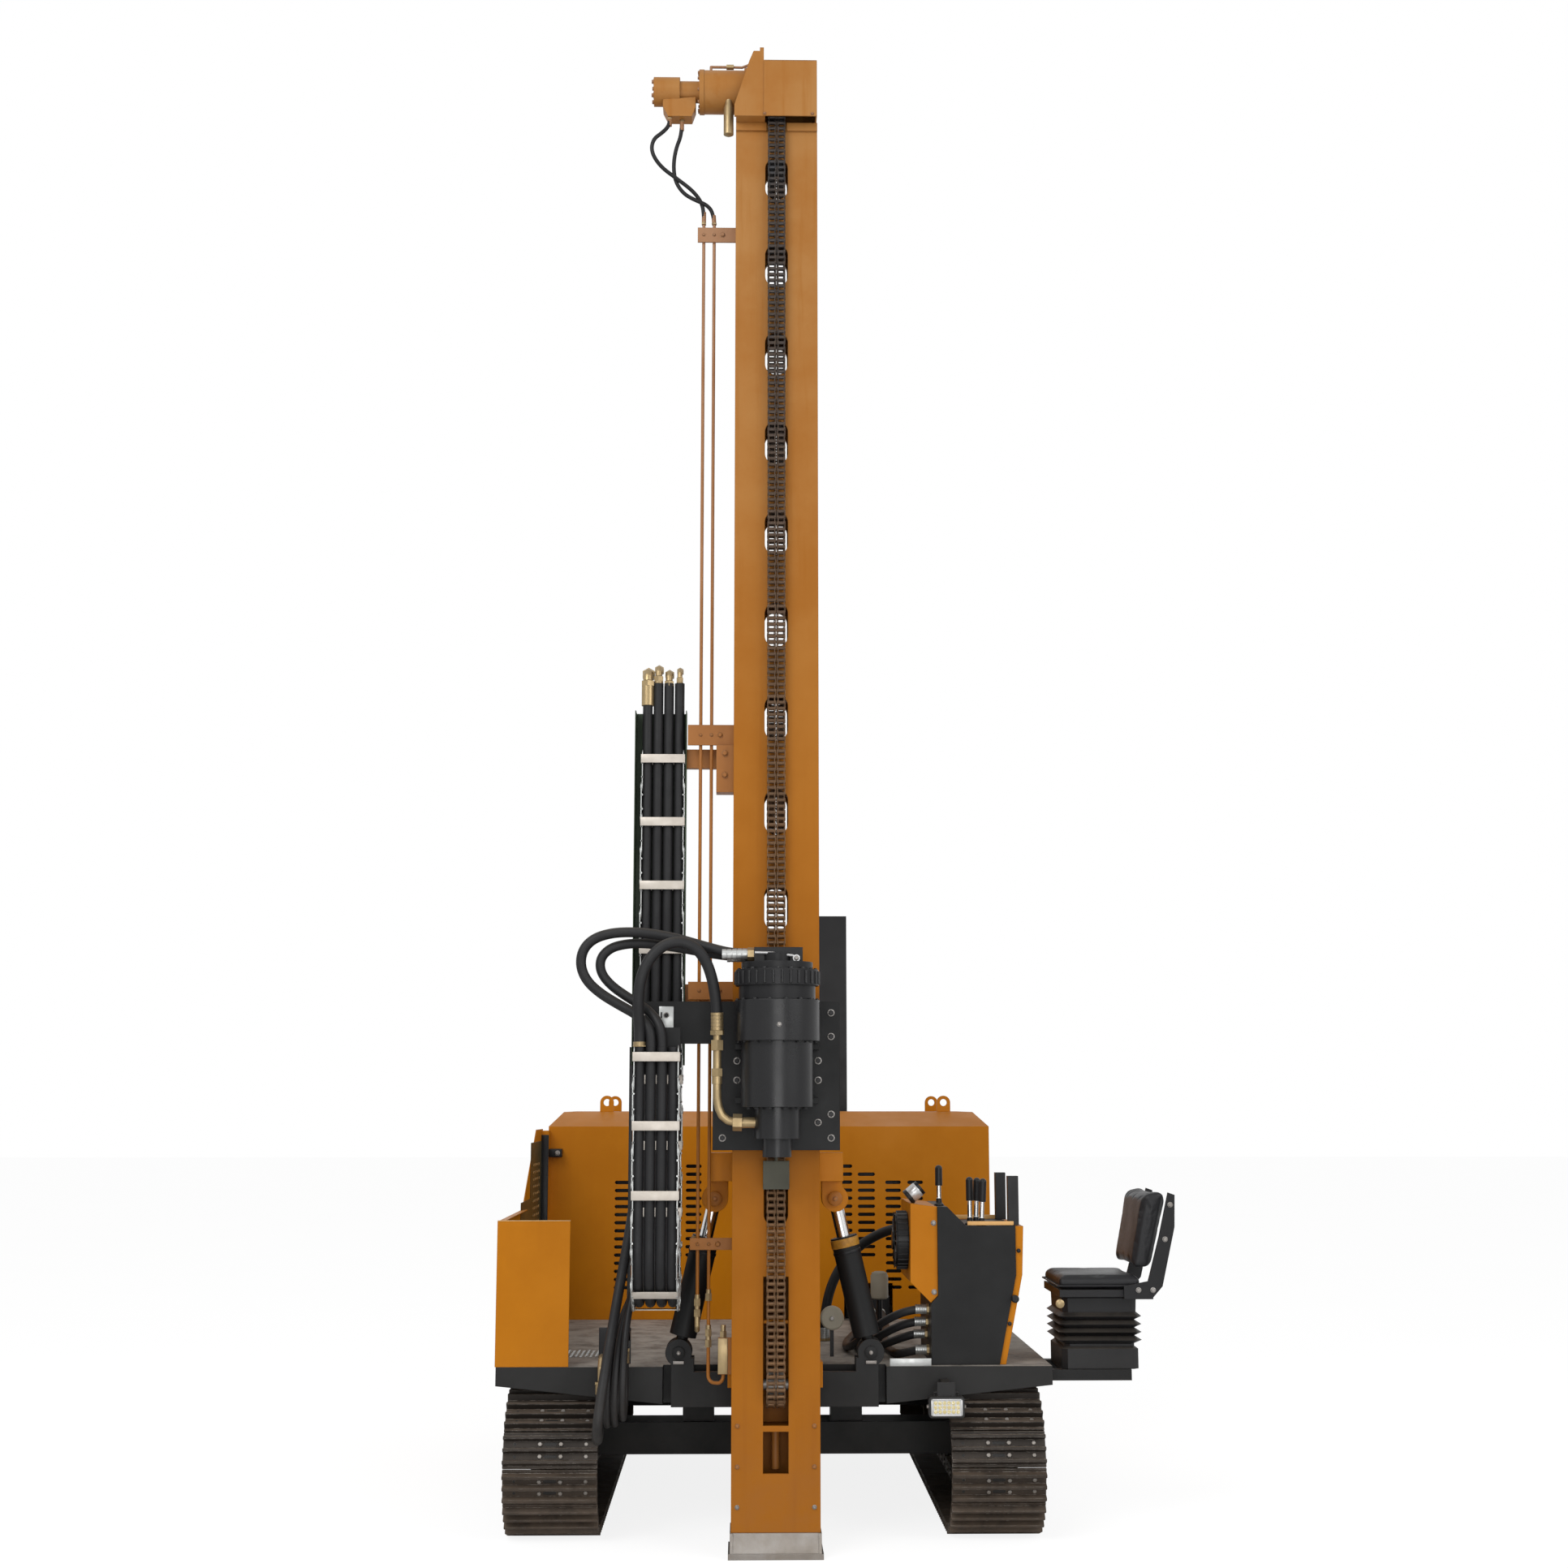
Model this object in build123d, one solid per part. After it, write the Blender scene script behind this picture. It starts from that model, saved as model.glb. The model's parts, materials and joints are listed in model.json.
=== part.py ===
from build123d import *
import math
import os

# A crawler pile rig: a slotted box mast with a chain-fed rotary drive head, carried on a tracked deck.
# Sizes are in millimetres. X runs right as seen from the front of the mast, Y runs back and Z runs up.
# The origin is on the ground, under the middle of the mast's front face.

SIDES = (-1, 1)
GAP = 0.3  # between pieces that seat on each other
RUN_GAP = 6  # between pieces that pass each other
PAD_GAP = 0.5  # between a wear pad and the guide that it slides on
PIN_GAP = 0.08  # radial, round a pin that turns in its hole

# Mast
MAST_HALF, MAST_DEPTH, MAST_PLATE = 175, 200, 16
WEB_HALF, WEB = 150, 12
MAST_FOOT, MAST_TOP = 95, 5926
SLOT_WIDTH, SLOT_HEIGHT, SLOT_PITCH, SLOT_COUNT, TOP_SLOT_Z = 96, 190, 392.6, 12, MAST_TOP - 251
WINDOW_HALF = 50
WINDOWS = ((496, 1067), (315, 474))  # low and high edge of each window in the front plate
FOOT_HALF, FOOT_FRONT, FOOT_BACK, FOOT_LIP = 186, -36, 205, 22

# Feed chain, a duplex roller chain
CHAIN_PITCH, CHAIN_TEETH, CHAIN_HALF, CHAIN_PLATE = 25.4, 19, 37, 24
CHAIN_Y, SPROCKET_RISE, IDLER_Z = 52, 168, 647
SPROCKET_Z = MAST_TOP + SPROCKET_RISE
CHAIN_CORE, CHAIN_STRAND = 10, 9  # the pins' thickness between the strands, and where a strand starts
CHAIN_RADIUS = CHAIN_PITCH / 2 / math.sin(math.pi / CHAIN_TEETH)
CHAIN_FRONT = CHAIN_Y - CHAIN_RADIUS - CHAIN_PLATE / 2

# Housing and feed drive at the top
HOUSING_X, HOUSING_Y, HOUSING_TOP, SHEET = (-56, 172), (-76, 206), SPROCKET_Z + 96, 6
MOUNT_PLATE, MOUNT_TOP = 17, SPROCKET_Z + 146
SHAFT_RADIUS = 25
DRIVE_STEPS = (  # low x, high x, radius
    (-532, -419, 62), (-419, -334, 46), (-334, -313, 95), (-313, -140, 92), (-140, -73, 104),
)

# Carriage and rotary head
CARRIAGE_HALF, CARRIAGE_Z, CARRIAGE_PLATE, CARRIAGE_FRONT = 253, (1562, 2149), 20, -72
ARM_X, ARM_Z = (-525, -253), (1981, 2149)
HEAD_Y = -246
HEAD_STEPS = (  # low z, high z, radius
    (1610, 1732, 87), (1732, 1986, 140), (1986, 2144, 167),
)
MOTOR_STEPS = (  # low z, high z, radius
    (2144, 2200, 150), (2200, 2262, 163), (2262, 2292, 140), (2292, 2330, 60),
)
SPINDLE_RADIUS, SPINDLE_LOW, SPINDLE_BORE = 56, 1540, 24
ANCHOR_Z, ANCHOR_HALF = (1409, 1520), 52

# Drag chain and its trough beside the mast
DRAG_X, DRAG_REAR_Y, DRAG_FRONT_Y, DRAG_LOW = (-562, -378), 150, -262, 942
DRAG_TOP_REAR, DRAG_TOP_FRONT, DRAG_SIDE, DRAG_HALF = 3205, 1963, 8, 33
DRAG_BAR_STEP, DRAG_BAR = 265, 36
DRAG_LINK, LINK_NOTCH, LINK_WAIST = 132.5, 14, 9  # pitch of the links, half width and depth of a notch
SEAT_PLATE_Z = (1860, 2040)
DRAG_HOSES = ((-536.7, 34), (-492, 34), (-448, 34), (-403.3, 34))  # x, diameter
DRAG_HOSE_TOP, HOSE_SIDES, BEND_STEPS = 3490, 8, 16
TROUGH_X, TROUGH_Z, TROUGH_SHEET = (-588, -372), (1900, 3370), 4

# Hard pipes on the mast's left side
PIPES, PIPE_RADIUS, PIPE_Y, PIPE_Z = (-313, -268), 7, 100, (905, MAST_TOP - 421)
PIPE_BLOCK_X, PIPE_BLOCK_Y, PIPE_BLOCK_Z, PIPE_BEND = -228, (45, 75), (686, 827), 28
BRACKETS = (  # left x, low z, high z
    (-339, MAST_TOP - 504, MAST_TOP - 438), (-366, 3217, 3303), (-358, 2164, 2237), (-344, 1165, 1212),
)
BRACKET_Y = (84.7, 92.7)
TROUGH_ARMS, TROUGH_ARM_Y = ((2150, 2230), (3130, 3210)), (150, 183.7)

# Swing frame behind the mast, its guides and the two swing cylinders
SWING_PIVOT_Z, SWING_PLATE_Y = 600, (212, 232)
SWING_HALF, SWING_Z = 150, (520, 1547)
GUIDE_HALF, UPPER_GUIDE_Z, LOWER_GUIDE_Z = 276, (1433, 1547), (620, 720)
SWING_TOP_PIN, SWING_LOW_PIN, CYLINDER_Y = (246, 1360), (390, 747), 290
EAR_RADIUS, EAR, SWING_PIN, EYE_HALF = 54, 18, 20, 25
EYE_SLACK = 6.5  # the rod's eye is open by this much, because its linkage is cut there
BARREL_RADIUS, ROD_RADIUS, BARREL_LENGTH = 55, 28, 470
PIVOT_RADIUS = 40

# Lift cylinder that slides the mast in the swing frame
LIFT_Y, LIFT_RADIUS, LIFT_BORE, LIFT_ROD, LIFT_Z, LIFT_LUG_Z = 285, 40, 30, 20, (800, 1500), (1590, 1650)

# Luff frame and cylinder
LUFF_PIVOT, LUFF_PIN = (430, 760), 25
CARRIER_HALF, CARRIER_Y, CARRIER_Z = 420, (240, 262), (534, 672)
TOWER_X, TOWER_PLATE = 110, 20
LUFF_TOP, LUFF_LOW, LUFF_EYE_HALF, LUFF_EYE_SLACK = (460, 1360), (1200, 760), 60, 8.5

# Deck, its beams and the undercarriage
DECK_HALF, DECK_Y, DECK_Z, DECK_SHEET = 1135, (300, 3350), 685, 12
DECK_EDGE_Z, DECK_MIDDLE_Z = 610, 534
RECESS_HALF, RECESS_Y = 456, 375
BEAM_X, BEAM_WIDTH = 395, 90
CROSS_Y, CROSS_DEPTH, CROSS_Z = (900, 2360), 200, (245, 380)
PEDESTAL_X = (255, 390)

# Tracks
TRACK_X, SHOE_HALF, WHEEL_Y, TRACK_AXIS_Z = 900, 190, (480, 2780), 295
SHOE_COUNT, GROUSER, SHOE_PLATE, LINK_DEPTH, LINK_HALF = 44, 25, 12, 58, 72
SHOE_OUT = TRACK_AXIS_Z - GROUSER
SHOE_IN = SHOE_OUT - SHOE_PLATE
RAIL_RADIUS = SHOE_IN - LINK_DEPTH
TURN_STEPS = 14  # flats of the links' path round half a wheel
RIDGES, RIDGE_SHAPE = 3, ((0.12, 0), (0.36, 1), (0.64, 1))  # per shoe; share of a ridge's pitch, height
FRAME_HALF, FRAME_Z = 66, (170, 330)
ROLLER_RADIUS, ROLLER_COUNT = 70, 6

# Hood over the engine at the back
HOOD_INSET, HOOD_Y, HOOD_EDGE_Z, HOOD_WALL = 28, (2158, 3330), 1630, 20
HOOD_HALF = DECK_HALF - HOOD_INSET
ROOF_HALF, ROOF_FRONT_Y, ROOF_TOP_Z = HOOD_HALF - 55, 2400, 1701
DOOR_Y, DOOR_Z = (2260, 3200), (760, 1560)
HINGE_X, HINGE_Y, HINGE_RADIUS, HINGE_PIN = HOOD_HALF + 8, DOOR_Y[1] + 3, 8, 4
HINGES = (850, 1430)  # low z of each knuckle on a door
LOUVRES = (  # centre x, width, top z, rows
    (378, 78, 1433, 12), (488, 86, 1393, 11), (622, 78, 1353, 14), (733, 78, 1353, 14),
)
LOUVRE_HEIGHT, LOUVRE_PITCH = 17, 39.5
REAR_SLOTS_X, REAR_SLOTS_Z = (-850, -500, -150, 550), (900, 1500, 70)
POST_X, POST_Y, POST_TOP, POST_WALL = (170, 452), (3350.3, 3470), 2797, 4
LUGS = ((-835, 2450), (907, 2450), (-835, 3150), (907, 3150))  # x, y of each lifting eye
ENGINE_HALF, ENGINE_Y, ENGINE_TOP = 420, (2300, 3150), 1500
MANIFOLD_X, MANIFOLD_Y, MANIFOLD_TOP = (386, 604), (2200, 2290), 790

# Guard at the left, console and seat at the right
GUARD_X, GUARD_TOP = -DECK_HALF - 4, 1266
GUARD_FRONT = GUARD_X + 299
GUARD_SHEET = 4
CONSOLE_X, CONSOLE_Y = DECK_HALF - 490, (340, 860)
FAN_Y, FAN_Z, FAN_STEPS = 520, 1176, ((-147, -130, 40), (-130, -83.9, 118))  # low x, high x, radius
SEAT_X, SEAT_Y = DECK_HALF + 25, (330, 790)


def block(x, y, z):
    """A box between a low and a high limit on each axis."""
    spans = (x, y, z)
    return Pos(*[(a + b) / 2 for a, b in spans]) * Box(*[b - a for a, b in spans])


def span(side, inner, outer):
    """The low and high x of a piece that lies between two distances from the middle, on one side."""
    return tuple(sorted((side * inner, side * outer)))


def bar(start, end, radius, bore=0):
    """A round bar, or a tube where it has a bore, from point to point."""
    way = Vector(*end) - Vector(*start)
    ring = Circle(radius) - Circle(bore) if bore else Circle(radius)
    return extrude(Plane(origin=start, z_dir=way) * ring, amount=way.length)


def plate(points, axis, low, high):
    """A plate with the outline that the points give, square to an axis and between two places on it."""
    place = {"X": lambda a, b: (low, a, b), "Y": lambda a, b: (a, low, b), "Z": lambda a, b: (a, b, low)}
    along = {"X": (1, 0, 0), "Y": (0, 1, 0), "Z": (0, 0, 1)}
    outline = Polyline([place[axis](a, b) for a, b in points], close=True)
    return extrude(make_face(outline), amount=high - low, dir=along[axis])


def front_slots(slots, y):
    """Cutters for obround slots through a wall that faces front: x, z, width and height of each."""
    sketch = Sketch() + [
        Pos(x, z) * (SlotOverall(w, h) if w > h else SlotOverall(h, w, rotation=90))
        for x, z, w, h in slots
    ]
    return extrude(Plane.XZ.offset(-y[0]) * sketch, amount=y[0] - y[1])


def louvre_cuts(slots, y):
    """Cutters like front_slots, but with ends of two flats, for the many slots of a grille."""
    cuts = []
    for x, z, w, h in slots:
        a, b, e = w / 2, h / 2, h / 3
        corners = [(-a, -b + e), (-a + e, -b), (a - e, -b), (a, -b + e), (a, b - e), (a - e, b), (-a + e, b), (-a, b - e)]
        cuts.append(plate([(x + u, z + v) for u, v in corners], "Y", *y))
    return cuts


def hose(points, diameter):
    """A hose of straight runs joined by arcs, each arc as large as its two runs allow."""
    points = [Vector(*p) for p in points]
    radii = []
    for before, at, after in zip(points, points[1:], points[2:]):
        come, go = at - before, after - at
        turn = math.radians(come.get_angle(go))
        radii.append(0.45 * min(come.length, go.length) / math.tan(turn / 2))
    path = FilletPolyline(*points, radius=radii)
    ring = Plane(origin=points[0], z_dir=points[1] - points[0]) * RegularPolygon(diameter / 2, HOSE_SIDES)
    tube = sweep(ring, path=path)
    wanted = ring.area * path.length
    print(f"hose d {diameter}: length {path.length:.0f}, least radius {min(radii):.0f}, "
          f"volume {tube.volume / wanted:.3f} of section by length")
    return tube


def stadium(radius, low, high, middle, x):
    """A long round-ended block in the YZ plane, round two centres at the same y, between two x."""
    disc = Sketch() + [Pos(middle, low) * Circle(radius), Pos(middle, high) * Circle(radius)]
    disc += Pos(middle, (low + high) / 2) * Rectangle(2 * radius, high - low)
    return extrude(Plane.YZ.offset(x[0]) * disc, amount=x[1] - x[0])


def mast_column():
    """The box mast: two wide slotted plates on two webs, with its cross plates and top flange."""
    z = (MAST_FOOT, MAST_TOP)
    body = block((-MAST_HALF, MAST_HALF), (0, MAST_PLATE), z)
    body += block((-MAST_HALF, MAST_HALF), (MAST_DEPTH - MAST_PLATE, MAST_DEPTH), z)
    for side in SIDES:
        body += block(span(side, WEB_HALF - WEB, WEB_HALF), (0, MAST_DEPTH), z)
    slots = [(0, TOP_SLOT_Z - i * SLOT_PITCH, SLOT_WIDTH, SLOT_HEIGHT) for i in range(SLOT_COUNT)]
    body -= front_slots(slots, (-1, MAST_DEPTH + 1))
    for low, high in WINDOWS:
        body -= block((-WINDOW_HALF, WINDOW_HALF), (-1, MAST_PLATE + 1), (low, high))
    inside = (-WEB_HALF + WEB / 2, WEB_HALF - WEB / 2)
    back = MAST_DEPTH - MAST_PLATE / 2
    for low, high, depth in ((MAST_FOOT, MAST_FOOT + 12, back), (474, 486, back), (886, 898, 100)):
        body += block(inside, (MAST_PLATE / 2, depth), (low, high))
    flange = block((-MAST_HALF, MAST_HALF), (-12, MAST_DEPTH + 12), (MAST_TOP - 36, MAST_TOP))
    chain_way = block((-CHAIN_HALF - RUN_GAP, CHAIN_HALF + RUN_GAP), (-13, 1), (MAST_TOP - 40, MAST_TOP + 1))
    inner = block((-WEB_HALF + WEB, WEB_HALF - WEB), (MAST_PLATE, MAST_DEPTH - MAST_PLATE),
                  (MAST_TOP - 40, MAST_TOP + 1))
    body += flange - inner
    body -= chain_way
    return body


def mast_foot():
    """The worn shoe under the mast: a lip plate, a steel wedge and two cheeks."""
    shoe = block((-FOOT_HALF, FOOT_HALF), (FOOT_FRONT, FOOT_BACK), (0, FOOT_LIP))
    wedge = [(FOOT_FRONT + 8, FOOT_LIP), (-4, MAST_FOOT - GAP), (MAST_DEPTH, MAST_FOOT - GAP), (MAST_DEPTH, FOOT_LIP)]
    shoe += plate(wedge, "X", -MAST_HALF + 8, MAST_HALF - 8)
    for side in SIDES:
        cheek = [(FOOT_FRONT, 0), (-10, MAST_FOOT - GAP), (MAST_DEPTH, MAST_FOOT - GAP), (FOOT_BACK, 0)]
        shoe += plate(cheek, "X", *span(side, MAST_HALF - 8, MAST_HALF + 4))
    return shoe


def top_housing():
    """The sheet housing over the drive sprocket, with the drive's mounting plate and gusset."""
    x, y, z = HOUSING_X, HOUSING_Y, (MAST_TOP + GAP, HOUSING_TOP)
    shell = block(x, y, z)
    shell = fillet(shell.edges().filter_by(Axis.X).group_by(Axis.Z)[-1], 22)
    shell -= block((x[0] + SHEET, x[1] - SHEET), (y[0] + SHEET, y[1] - SHEET), (z[0] - 1, z[1] - SHEET))
    mount = block((x[0] - MOUNT_PLATE, x[0]), (-72, 190), (z[0], MOUNT_TOP))
    gusset = [(-182, z[0]), (-182, SPROCKET_Z - 116), (-118, SPROCKET_Z + 86), (-100, MOUNT_TOP - 16),
              (-60, MOUNT_TOP - 16), (-60, z[0])]
    shell += mount + plate(gusset, "Y", -72, -60)
    shell += block((-MAST_HALF, -60), (-72, -8), (z[0], z[0] + 12))
    shell -= bar((-200, CHAIN_Y, SPROCKET_Z), (x[0] + SHEET + 1, CHAIN_Y, SPROCKET_Z), SHAFT_RADIUS + 2)
    hub = bar((x[1] - SHEET - 20, CHAIN_Y, SPROCKET_Z), (x[1] - SHEET, CHAIN_Y, SPROCKET_Z), 45, SHAFT_RADIUS + GAP)
    return shell + hub


def feed_drive():
    """The feed motor, its planetary gearbox and its shaft, along X, with the valve block under it."""
    shape = Part()
    for low, high, radius in DRIVE_STEPS:
        shape += bar((low, CHAIN_Y, SPROCKET_Z), (high - (GAP if high == DRIVE_STEPS[-1][1] else 0),
                                                  CHAIN_Y, SPROCKET_Z), radius)
    shape += bar((-80, CHAIN_Y, SPROCKET_Z), (HOUSING_X[1] - SHEET - 1, CHAIN_Y, SPROCKET_Z), SHAFT_RADIUS)
    low, top = SPROCKET_Z - 129, SPROCKET_Z - 84
    valve = [(-492, SPROCKET_Z - 52), (-492, top), (-470, low), (-366, low), (-350, top), (-350, SPROCKET_Z - 40)]
    return shape + plate(valve, "Y", CHAIN_Y - 38, CHAIN_Y + 38)


def chain_wheels():
    """The drive sprocket and the idler, each with two rows under the two strands, and the idler's axle."""
    seat = CHAIN_RADIUS - CHAIN_PLATE / 2 - GAP
    drive = bar((-34, CHAIN_Y, SPROCKET_Z), (34, CHAIN_Y, SPROCKET_Z), seat, SHAFT_RADIUS + GAP)
    idler = bar((-34, CHAIN_Y, IDLER_Z), (34, CHAIN_Y, IDLER_Z), seat)
    reach = WEB_HALF - WEB - GAP
    idler += bar((-reach, CHAIN_Y, IDLER_Z), (reach, CHAIN_Y, IDLER_Z), 22)
    return Compound(children=[drive, idler])


def feed_chain():
    """The endless duplex chain, one fixed loop: two strands joined by the thinner core of their pins."""
    half, core = CHAIN_PLATE / 2, CHAIN_CORE / 2
    loop = Part()
    for x, depth in (((-CHAIN_HALF, -CHAIN_STRAND), half), ((CHAIN_STRAND, CHAIN_HALF), half),
                     ((-CHAIN_STRAND - 1, CHAIN_STRAND + 1), core)):
        strand = stadium(CHAIN_RADIUS + depth, IDLER_Z, SPROCKET_Z, CHAIN_Y, x)
        loop += strand - stadium(CHAIN_RADIUS - depth, IDLER_Z, SPROCKET_Z, CHAIN_Y, (x[0] - 1, x[1] + 1))
    return loop


def hard_pipes():
    """The two hard pipes up the mast's left side; the inner one bends back up into its block."""
    pipes = [bar((x, PIPE_Y, PIPE_Z[0]), (x, PIPE_Y, PIPE_Z[1]), PIPE_RADIUS) for x in PIPES]
    x, y = PIPE_BLOCK_X + 20, sum(PIPE_BLOCK_Y) / 2
    low = PIPE_BLOCK_Z[0] - 36
    path = FilletPolyline((PIPES[1], PIPE_Y, PIPE_Z[0]), (PIPES[1], PIPE_Y, low), (x, y, low),
                          (x, y, PIPE_BLOCK_Z[0] - GAP), radius=PIPE_BEND)
    ring = Plane(origin=(PIPES[1], PIPE_Y, PIPE_Z[0]), z_dir=(0, 0, -1)) * Circle(PIPE_RADIUS)
    pipes[1] += sweep(ring, path=path)
    return Compound(children=pipes)


def pipe_brackets():
    """The bars that carry the pipes, the arms that carry the trough, and the two bolted blocks."""
    pieces = []
    for left, low, high in BRACKETS:
        pieces.append(block((left, -WEB_HALF - GAP), BRACKET_Y, (low, high)))
    for z in TROUGH_ARMS:
        pieces.append(block((TROUGH_X[1] + GAP, -WEB_HALF - GAP), TROUGH_ARM_Y, z))
    pieces.append(block((-247, -WEB_HALF - GAP), (60, 140), (3016, 3214)))
    pieces.append(block((PIPE_BLOCK_X, -WEB_HALF - GAP), PIPE_BLOCK_Y, PIPE_BLOCK_Z))
    return Compound(children=pieces)


def cable_trough():
    """The folded sheet channel that backs the drag chain."""
    back = DRAG_REAR_Y + 50
    shape = block(TROUGH_X, (back, back + TROUGH_SHEET), TROUGH_Z)
    for low in (TROUGH_X[0], TROUGH_X[1] - TROUGH_SHEET):
        shape += block((low, low + TROUGH_SHEET), (DRAG_REAR_Y - 30, back + TROUGH_SHEET), TROUGH_Z)
    return shape + block(DRAG_X, (DRAG_REAR_Y + 33 + GAP, back + 1), (DRAG_TOP_REAR - 105, DRAG_TOP_REAR - 10))


def drag_rail(y, low, high, first):
    """The outline of one side rail: link plates in a row, with a notch at each end of a link on both edges."""
    front, back = [], []
    z = high - first
    while z > low + LINK_NOTCH:
        front += [(y - DRAG_HALF, z + LINK_NOTCH), (y - DRAG_HALF + LINK_WAIST, z), (y - DRAG_HALF, z - LINK_NOTCH)]
        back += [(y + DRAG_HALF, z + LINK_NOTCH), (y + DRAG_HALF - LINK_WAIST, z), (y + DRAG_HALF, z - LINK_NOTCH)]
        z -= DRAG_LINK
    return [(y - DRAG_HALF, high), *front, (y - DRAG_HALF, low), (y + DRAG_HALF, low), *back[::-1],
            (y + DRAG_HALF, high)]


def drag_run(y, low, high):
    """A straight run of the drag chain: two side rails of links and the flat bars that join them."""
    run = Part()
    outline = drag_rail(y, low, high, 20 + DRAG_BAR / 2 + DRAG_LINK / 2)
    for x in (DRAG_X[0], DRAG_X[1] - DRAG_SIDE):
        run += plate(outline, "X", x, x + DRAG_SIDE)
    count = int((high - low - DRAG_BAR) // DRAG_BAR_STEP) + 1
    for i in range(count):
        top = high - 20 - i * DRAG_BAR_STEP
        run += block(DRAG_X, (y - DRAG_HALF, y - DRAG_HALF + 5), (top - DRAG_BAR, top))
    return run


def half_ring(middle, centre, outer, inner, steps):
    """The lower half of a ring in the YZ plane as a many-sided outline, with its flats on the given radii."""
    out = [(middle + outer * math.cos(-math.pi * i / steps), centre + outer * math.sin(-math.pi * i / steps))
           for i in range(steps + 1)]
    back = [(middle + inner * math.cos(-math.pi * i / steps), centre + inner * math.sin(-math.pi * i / steps))
            for i in range(steps, -1, -1)]
    return out + back


def drag_bend():
    """The bend at the bottom of the drag chain, half a ring of rails joined by three bars."""
    middle = (DRAG_REAR_Y + DRAG_FRONT_Y) / 2
    radius = (DRAG_REAR_Y - DRAG_FRONT_Y) / 2
    centre = DRAG_LOW + radius + DRAG_HALF
    ring = Part()
    outline = half_ring(middle, centre - GAP, radius + DRAG_HALF, radius - DRAG_HALF, BEND_STEPS)
    for x in (DRAG_X[0], DRAG_X[1] - DRAG_SIDE):
        ring += plate(outline, "X", x, x + DRAG_SIDE)
    for angle in (-45, -90, -135):
        at = math.radians(angle)
        y, z = middle + (radius + 28) * math.cos(at), centre + (radius + 28) * math.sin(at)
        ring += Pos((DRAG_X[0] + DRAG_X[1]) / 2, y, z) * Rot(angle + 90, 0, 0) * Box(
            DRAG_X[1] - DRAG_X[0], DRAG_BAR, 5)
    return ring, centre


def drag_nodes():
    """The drag chain in three: the run on the mast, the bend, and the run on the carriage, with hoses."""
    bend, centre = drag_bend()
    middle = (DRAG_REAR_Y + DRAG_FRONT_Y) / 2
    hoses = {"rear": [], "front": [], "bend": []}
    for x, diameter in DRAG_HOSES:
        ring = RegularPolygon(diameter / 2, HOSE_SIDES)
        for run, y, top in (("rear", DRAG_REAR_Y, DRAG_HOSE_TOP), ("front", DRAG_FRONT_Y, DRAG_TOP_FRONT)):
            hoses[run].append(extrude(Plane(origin=(x, y, centre), z_dir=(0, 0, 1)) * ring, amount=top - centre))
        turn = Axis((x, middle, centre - GAP), (1, 0, 0))
        hoses["bend"].append(revolve(Plane(origin=(x, DRAG_REAR_Y, centre - GAP), z_dir=(0, 0, 1)) * ring, turn, -180))
    return {
        "drag_chain_rear": drag_run(DRAG_REAR_Y, centre, DRAG_TOP_REAR),
        "drag_chain_front": drag_run(DRAG_FRONT_Y, centre, DRAG_TOP_FRONT),
        "drag_chain_bend": bend,
        "drag_hoses_rear": Compound(children=hoses["rear"]),
        "drag_hoses_front": Compound(children=hoses["front"]),
        "drag_hoses_bend": Compound(children=hoses["bend"]),
    }


def carriage_frame():
    """The carriage: its face plate, the claws round the mast's front plate, the pads, the saddles and arm."""
    back = CARRIAGE_FRONT + CARRIAGE_PLATE
    face_y = (CARRIAGE_FRONT, back)
    body = block((-CARRIAGE_HALF, CARRIAGE_HALF), face_y, CARRIAGE_Z)
    for side in SIDES:
        inner, outer = MAST_HALF + RUN_GAP, MAST_HALF + RUN_GAP + 20
        body += block(span(side, inner, outer), (back, MAST_PLATE + PAD_GAP + 22), CARRIAGE_Z)
        keeper_y = (MAST_PLATE + PAD_GAP, MAST_PLATE + PAD_GAP + 22)
        body += block(span(side, WEB_HALF + RUN_GAP, inner), keeper_y, CARRIAGE_Z)
        body += block(span(side, 60, 165), (back, -PAD_GAP), CARRIAGE_Z)
    for z in (1745, 1955):
        saddle = block((-165, 165), (CARRIAGE_FRONT - 110, CARRIAGE_FRONT), (z, z + 22))
        body += saddle - bar((0, HEAD_Y, z - 1), (0, HEAD_Y, z + 23), HEAD_STEPS[1][2] + GAP)
    body += block(ARM_X, face_y, ARM_Z)
    body += block((ARM_X[0], ARM_X[1] + 60), (CARRIAGE_FRONT, -12), (ARM_Z[1] - 8, ARM_Z[1]))
    seat = (DRAG_FRONT_Y + 33 + GAP, DRAG_FRONT_Y + 41)
    body += block(DRAG_X, seat, SEAT_PLATE_Z)
    for low in (-500, -448):
        body += block((low, low + 8), (seat[0], CARRIAGE_FRONT + 1), (ARM_Z[0] + 9, SEAT_PLATE_Z[1]))
    return body


def rotary_gearbox():
    """The planetary gearbox of the rotary head, with a shaft bore at the bottom."""
    shape = Part()
    for low, high, radius in HEAD_STEPS:
        shape += bar((0, HEAD_Y, low), (0, HEAD_Y, high), radius)
    return shape - bar((0, HEAD_Y, HEAD_STEPS[0][0] - 1), (0, HEAD_Y, 1690), SPINDLE_RADIUS + PIN_GAP)


def rotary_motor():
    """The hydraulic motor on top of the head, with its ring of ribs and its port block."""
    shape = Part()
    for low, high, radius in MOTOR_STEPS:
        shape += bar((0, HEAD_Y, low + GAP), (0, HEAD_Y, high + GAP), radius)
    return shape + block((-90, 100), (HEAD_Y - 32, HEAD_Y + 48), (2292, 2352))


def spindle():
    """The output spindle with its socket for a drive rod."""
    shape = bar((0, HEAD_Y, SPINDLE_LOW), (0, HEAD_Y, 1688), SPINDLE_RADIUS)
    return shape - bar((0, HEAD_Y, SPINDLE_LOW - 1), (0, HEAD_Y, SPINDLE_LOW + 90), SPINDLE_BORE)


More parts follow.
